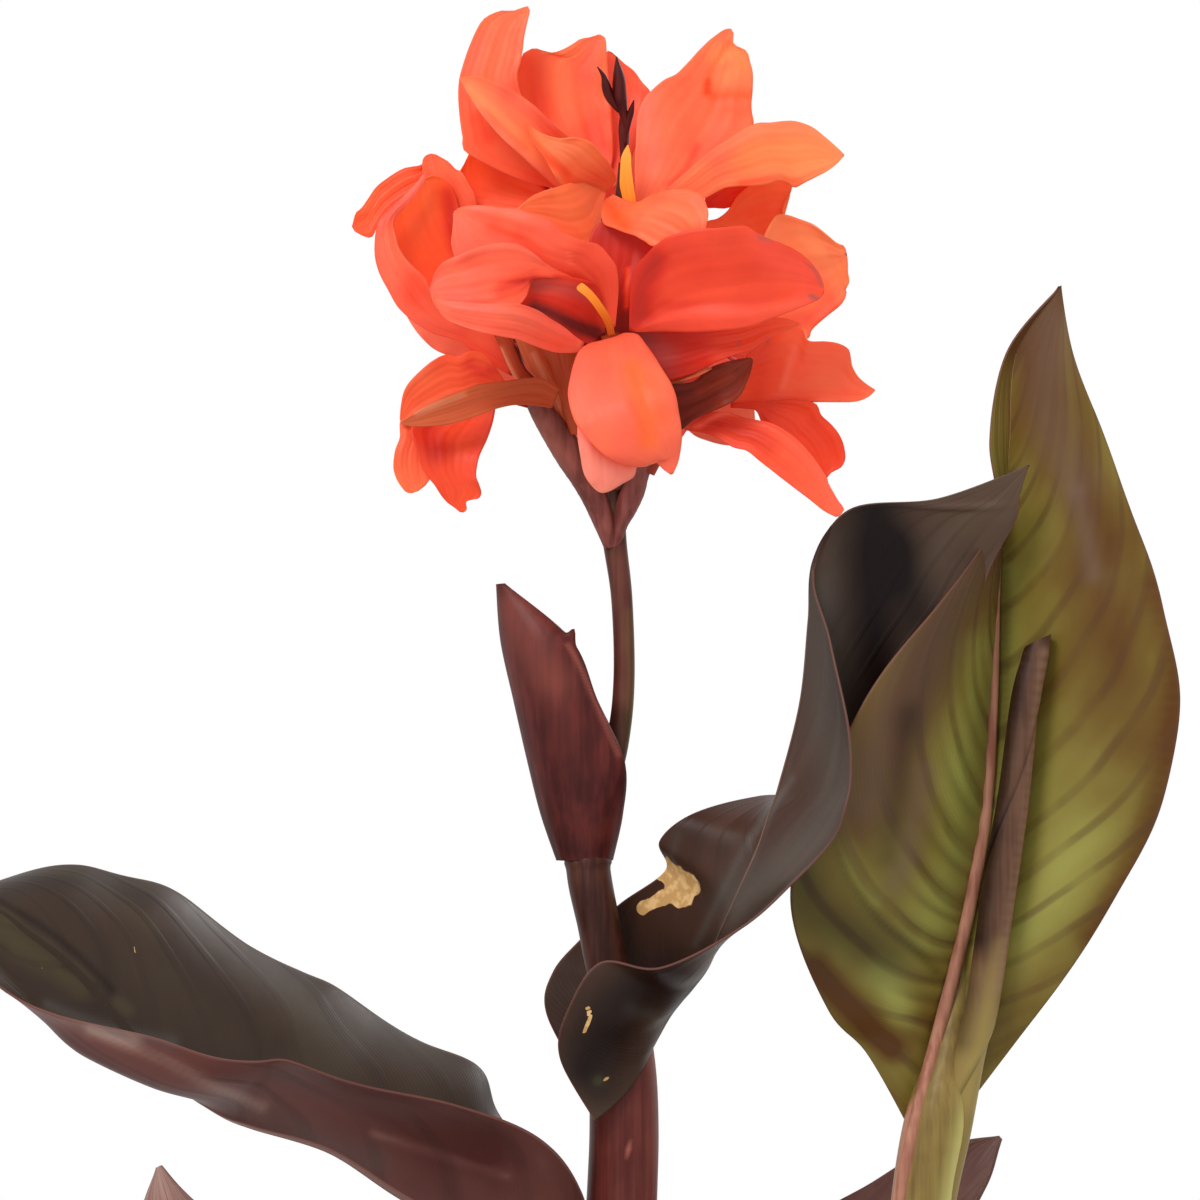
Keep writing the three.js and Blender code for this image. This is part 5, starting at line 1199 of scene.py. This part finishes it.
SEEN_STYLES = {
    "top_right": dict(left=[(3.8, 37), (2.9, 41), (2.4, 44), (2.6, 50), (3.1, 54.6), (5.2, 58.6)], right=[(8.6, 37), (7.7, 43),
                      (7.0, 48), (6.7, 52), (6.6, 55), (5.6, 58.6)], depth=(-23, -24, -25), shade=(0.5, 0.1), blush=0),
    "front": dict(left=[(-2, -13), (-3.4, -8), (-6.2, -3.4), (-10, 1.4), (-13.6, 4.4), (-12.9, 5.9)], right=[(0.6, -12.5),
                  (-0.6, -7), (-3.6, -1.8), (-7.4, 3.2), (-11.2, 6.6), (-12.3, 6.2)], depth=(-42, -50, -55), shade=(0.9, 0.2), blush=0),
}
flower_shells = {name: [petal(n, **row) for n, row in enumerate(rows)] for name, rows in SEEN_FLOWERS.items()}
true_shells = {name: [petal(n + 50, **row) for n, row in enumerate(rows)] for name, rows in TRUE_PETALS.items()}
print("petals in view:", sum(len(shells) for shells in flower_shells.values()))

# %% [markdown]
# ### Flowers on the far side, tubes and ovaries
# The head is round, so three more flowers face away. Their petals are drawn by a root, a belly and a tip.
# Under every flower there is a warty ovary, with three small sepals on all but the two lowest, then a tube that carries
# the petals.
# The style is a flat strap, as it is in all cannas.

# %% Shapes round an axis
FLOWERS = {  # seat on the stalk, throat, what the flower looks towards, style, bulk of the ovary
    "front": ((1, -6, -70), (-1, -36, -14), (0, -1, 0.2), ((-4, -48, -1), (-11, -55, 5)), 1),
    "top_right": ((1, -4, 0), (3, -18, 32), (0.1, -0.8, 0.5), ((5, -24, 47), (6, -25, 58)), 1),
    "top_left": ((0, 2, 12), (-7, 4, 42), (-0.2, -0.6, 0.6), ((-12, -6, 50), (-18, -14, 54)), 1),
    "left": ((-3, -1, -52), (-38, -6, -14), (-0.5, -0.8, 0.3), ((-44, -14, -2), (-50, -20, 6)), 1),
    "low_left": ((0, -3, -84), (-28, -14, -38), (-0.5, -0.8, 0.1), ((-42, -24, -36), (-50, -28, -36)), 1.4),
    "low_right": ((2, -3, -84), (26, -12, -42), (0.5, -0.8, 0.1), ((36, -24, -36), (43, -30, -35)), 1.6),
    "right": ((3, 4, -44), (42, 8, -16), (0.6, -0.7, 0.3), ((52, 6, -4), (58, 4, 4)), 1),
    "back_top": ((0, 4, -14), (0, 32, 18), (0, 0.9, 0.4), ((2, 44, 26), (4, 52, 32)), 1),
    "back_left": ((-4, 4, -34), (-26, 30, -22), (-0.5, 0.85, 0.1), ((-34, 42, -18), (-40, 49, -15)), 1),
    "back_right": ((4, 5, -60), (20, 28, -26), (0.4, 0.9, 0), ((26, 42, -22), (30, 50, -19)), 1),
}
FREE_PETALS = {  # belly, tip and width of the petals that are not drawn by their edges
    "back_top": [((-20, 44, 40), (-36, 54, 62), 34), ((2, 46, 50), (4, 56, 76), 34), ((16, 46, 42), (26, 56, 60), 30),
                 ((-30, 52, 12), (-58, 62, 16), 32), ((8, 58, 2), (12, 76, -22), 34)],
    "back_left": [((-52, 36, -6), (-80, 40, 2), 32), ((-42, 48, -26), (-62, 60, -38), 28), ((-18, 52, -30), (-14, 66, -56), 32)],
    "back_right": [((34, 44, -36), (52, 54, -52), 28), ((16, 54, -36), (14, 66, -60), 28), ((38, 50, -14), (62, 62, -8), 32)],
    "right": [((58, 26, -28), (70, 34, -44), 26)],
}
OVARY_LENGTH, OVARY_RADII = 14.0, (2.0, 3.3, 4.2, 4.0, 3.0)
SEPAL_ROWS = [(-3, 2.8, 1.6), (1, 4.6, 2.2), (7, 6.0, 2.0), (14, 5.6, 0.3)]  # past the ovary, off the axis, half width
TUBE_BOW = 1.5
LOW_LEFT_OVARY = [(-1, -2, -92, 2.6), (-3, -4, -84, 4.0), (-7, -6, -74, 4.6), (-11, -7, -66, 5.2), (-16, -8, -58, 5.6), (-21, -10, -50, 5.4),
                  (-26, -14, -43, 4.4), (-31, -19, -36, 2.8)]
LOW_RIGHT_OVARY = [(0.5, -2, -92, 2.2), (2.5, -4, -84, 2.8), (4.6, -5, -78, 4.0), (7.2, -6, -71, 4.6), (9.2, -7, -63, 4.8), (15, -9, -53, 4.6),
                   (25, -12, -44, 3.6)]


def broad(u):
    """Half the width of a broad petal as a share of its widest."""
    return 0.08 + 0.92 * np.sin(np.pi * u ** 1.5) ** 0.75


def free_petal(seed, root, belly, tip, width, face):
    rows, columns = PETAL_GRID
    u, v = np.linspace(0, 1, rows), np.linspace(-1, 1, columns)[None, :]
    bend = 2 * belly - 0.5 * root - 0.5 * tip
    t = u[:, None]
    line = (1 - t) ** 2 * root + 2 * t * (1 - t) * bend + t ** 2 * tip
    tangent = unit(np.gradient(line, axis=0))
    side = unit(np.cross(tangent, face))
    up = np.cross(side, tangent)
    half = np.maximum(width / 2 * broad(u), 0.6)[:, None]
    rise = 0.18 * half * v * v + folds(np.random.default_rng(seed), u[:, None], v, 0.6, 1.1)
    grid = line[:, None] + (half * v)[..., None] * side[:, None] + rise[..., None] * up[:, None]
    shell = sheet(grid, PETAL_HALF)
    tone = np.repeat(0.12 + 0.7 * (1 - u) ** 1.6, columns)
    shell.paint.update(shade=np.tile(tone, 2), blush=np.repeat([0.15, 0.7], rows * columns))
    return shell


def strap(path, face, rows=22, columns=9, hollow=0.3, shade=0.4):
    """A narrow blade along rows of [x, y, z, half width]."""
    u, v = np.linspace(0, 1, rows), np.linspace(-1, 1, columns)[None, :, None]
    row = smooth_rows(path, u)[:, None, :]
    tangent = directions(path, u)
    side = unit(np.cross(tangent, face))
    up = np.cross(side, tangent)[:, None]
    grid = row[..., :3] + row[..., 3:] * (v * side[:, None] + hollow * v * v * up)
    shell = sheet(grid, PETAL_HALF)
    shell.paint["shade"] = np.full(len(shell.points), shade)
    return shell


def warty(shell, path, height, around=9, along=22):
    """Raise rows of small warts on a limb."""
    axis = smooth_rows(path, shell.where[:, 0])[:, :3]
    wart = np.sin(along * np.pi * shell.where[:, 0]) * np.sin(around * 2 * np.pi * shell.where[:, 1])
    shell.points += unit(shell.points - axis) * (height * np.clip(wart, 0, 1) * np.sin(np.pi * shell.where[:, 0]))[:, None]
    return shell


def turned_about(vector, axis, angle):
    cross, along = np.cross(axis, vector), axis * np.dot(axis, vector)
    return vector * math.cos(angle) + cross * math.sin(angle) + along * (1 - math.cos(angle))


def ovary_shells(name, seat, axis, bulk):
    drawn = {"low_left": LOW_LEFT_OVARY, "low_right": LOW_RIGHT_OVARY}.get(name)
    if drawn:
        path = [[*(HEAD + row[:3]), row[3]] for row in drawn]
        shell = warty(limb(path, 60, 36, 3, 0.05), path, 0.1, 11, 30)
        # Pinkish painted highlights on the lower left ovary.
        return [brush(shell, salmon=(0.05, ([(-66, 616), (-57, 601)], 4, 0.4)))]
    shares = np.linspace(0, 1, len(OVARY_RADII))
    path = [[*(seat + axis * OVARY_LENGTH * bulk * s), r * bulk] for s, r in zip(shares, OVARY_RADII)]
    shells = [warty(limb(path, 36, 36), path, 0.4)]
    across = unit(np.cross(axis, [0.3, 0.2, 1.0]))
    for k in range(3):
        out = turned_about(across, axis, 2 * np.pi * k / 3)
        past = [(OVARY_LENGTH + ahead) * bulk for ahead, _, _ in SEPAL_ROWS]
        rows = [[*(seat + axis * far + out * off * bulk), half * bulk] for far, (_, off, half) in zip(past, SEPAL_ROWS)]
        shells.append(strap(rows, -out, 14, 7, 0.4))
    return shells


def tube_rows(seat, mouth, axis, gaze, bulk):
    start = seat + axis * (OVARY_LENGTH * bulk + 0.55)
    bend = start * 0.5 + mouth * 0.5 - gaze * TUBE_BOW
    return [[*start, 2.4], [*bend, 2.8], [*mouth, 3.6]]


def style_shell(name, mouth, axis, gaze, points):
    if name in SEEN_STYLES:
        return petal(90, **SEEN_STYLES[name], cup=0, pleat=0.1, ruffle=0.1)
    ends = [HEAD + point for point in points]
    # The other styles lie deep among the petals and are painted a deep red-brown as painted shade.
    return strap([[*(mouth - axis * 2.5), 1.5], [*ends[0], 1.9], [*(ends[0] * 0.4 + ends[1] * 0.6), 2.0], [*ends[1], 0.9]],
                 gaze, shade=0.9)


# %% Every flower
for number, (name, (seat, throat, gaze, style, bulk)) in enumerate(FLOWERS.items()):
    seat, mouth, gaze = HEAD + seat, HEAD + throat, np.array(gaze, float)
    axis = unit(mouth - seat)
    bloom, ovary = "bloom_" + name, "ovary_" + name
    petals = list(flower_shells.get(name, []))
    for k, (belly, tip, width) in enumerate(FREE_PETALS.get(name, [])):
        outward = unit((belly + HEAD - mouth) - axis * np.dot(belly + HEAD - mouth, axis))
        petals.append(free_petal(200 + 10 * number + k, mouth - axis * 2.5 + outward * 1.8, HEAD + belly, HEAD + tip, width, gaze))
    tube = limb(tube_rows(seat, mouth, axis, gaze, bulk), 26, 24, 3, 0.05)
    tube.paint["shade"] = np.full(len(tube.points), 0.75)
    place_piece(name + "_petals", petals, PETAL, "petal", bloom)
    place_piece(name + "_tube", [tube, *true_shells.get(name, [])], TRUE_PETAL, "petal", bloom)
    place_piece(name + "_ovary", ovary_shells(name, seat, axis, bulk), OVARY, "ovary", ovary)
    place_piece(name + "_style", [style_shell(name, mouth, axis, gaze, style)], STYLE, "style", "style_" + name)
print("flowers:", len(FLOWERS))
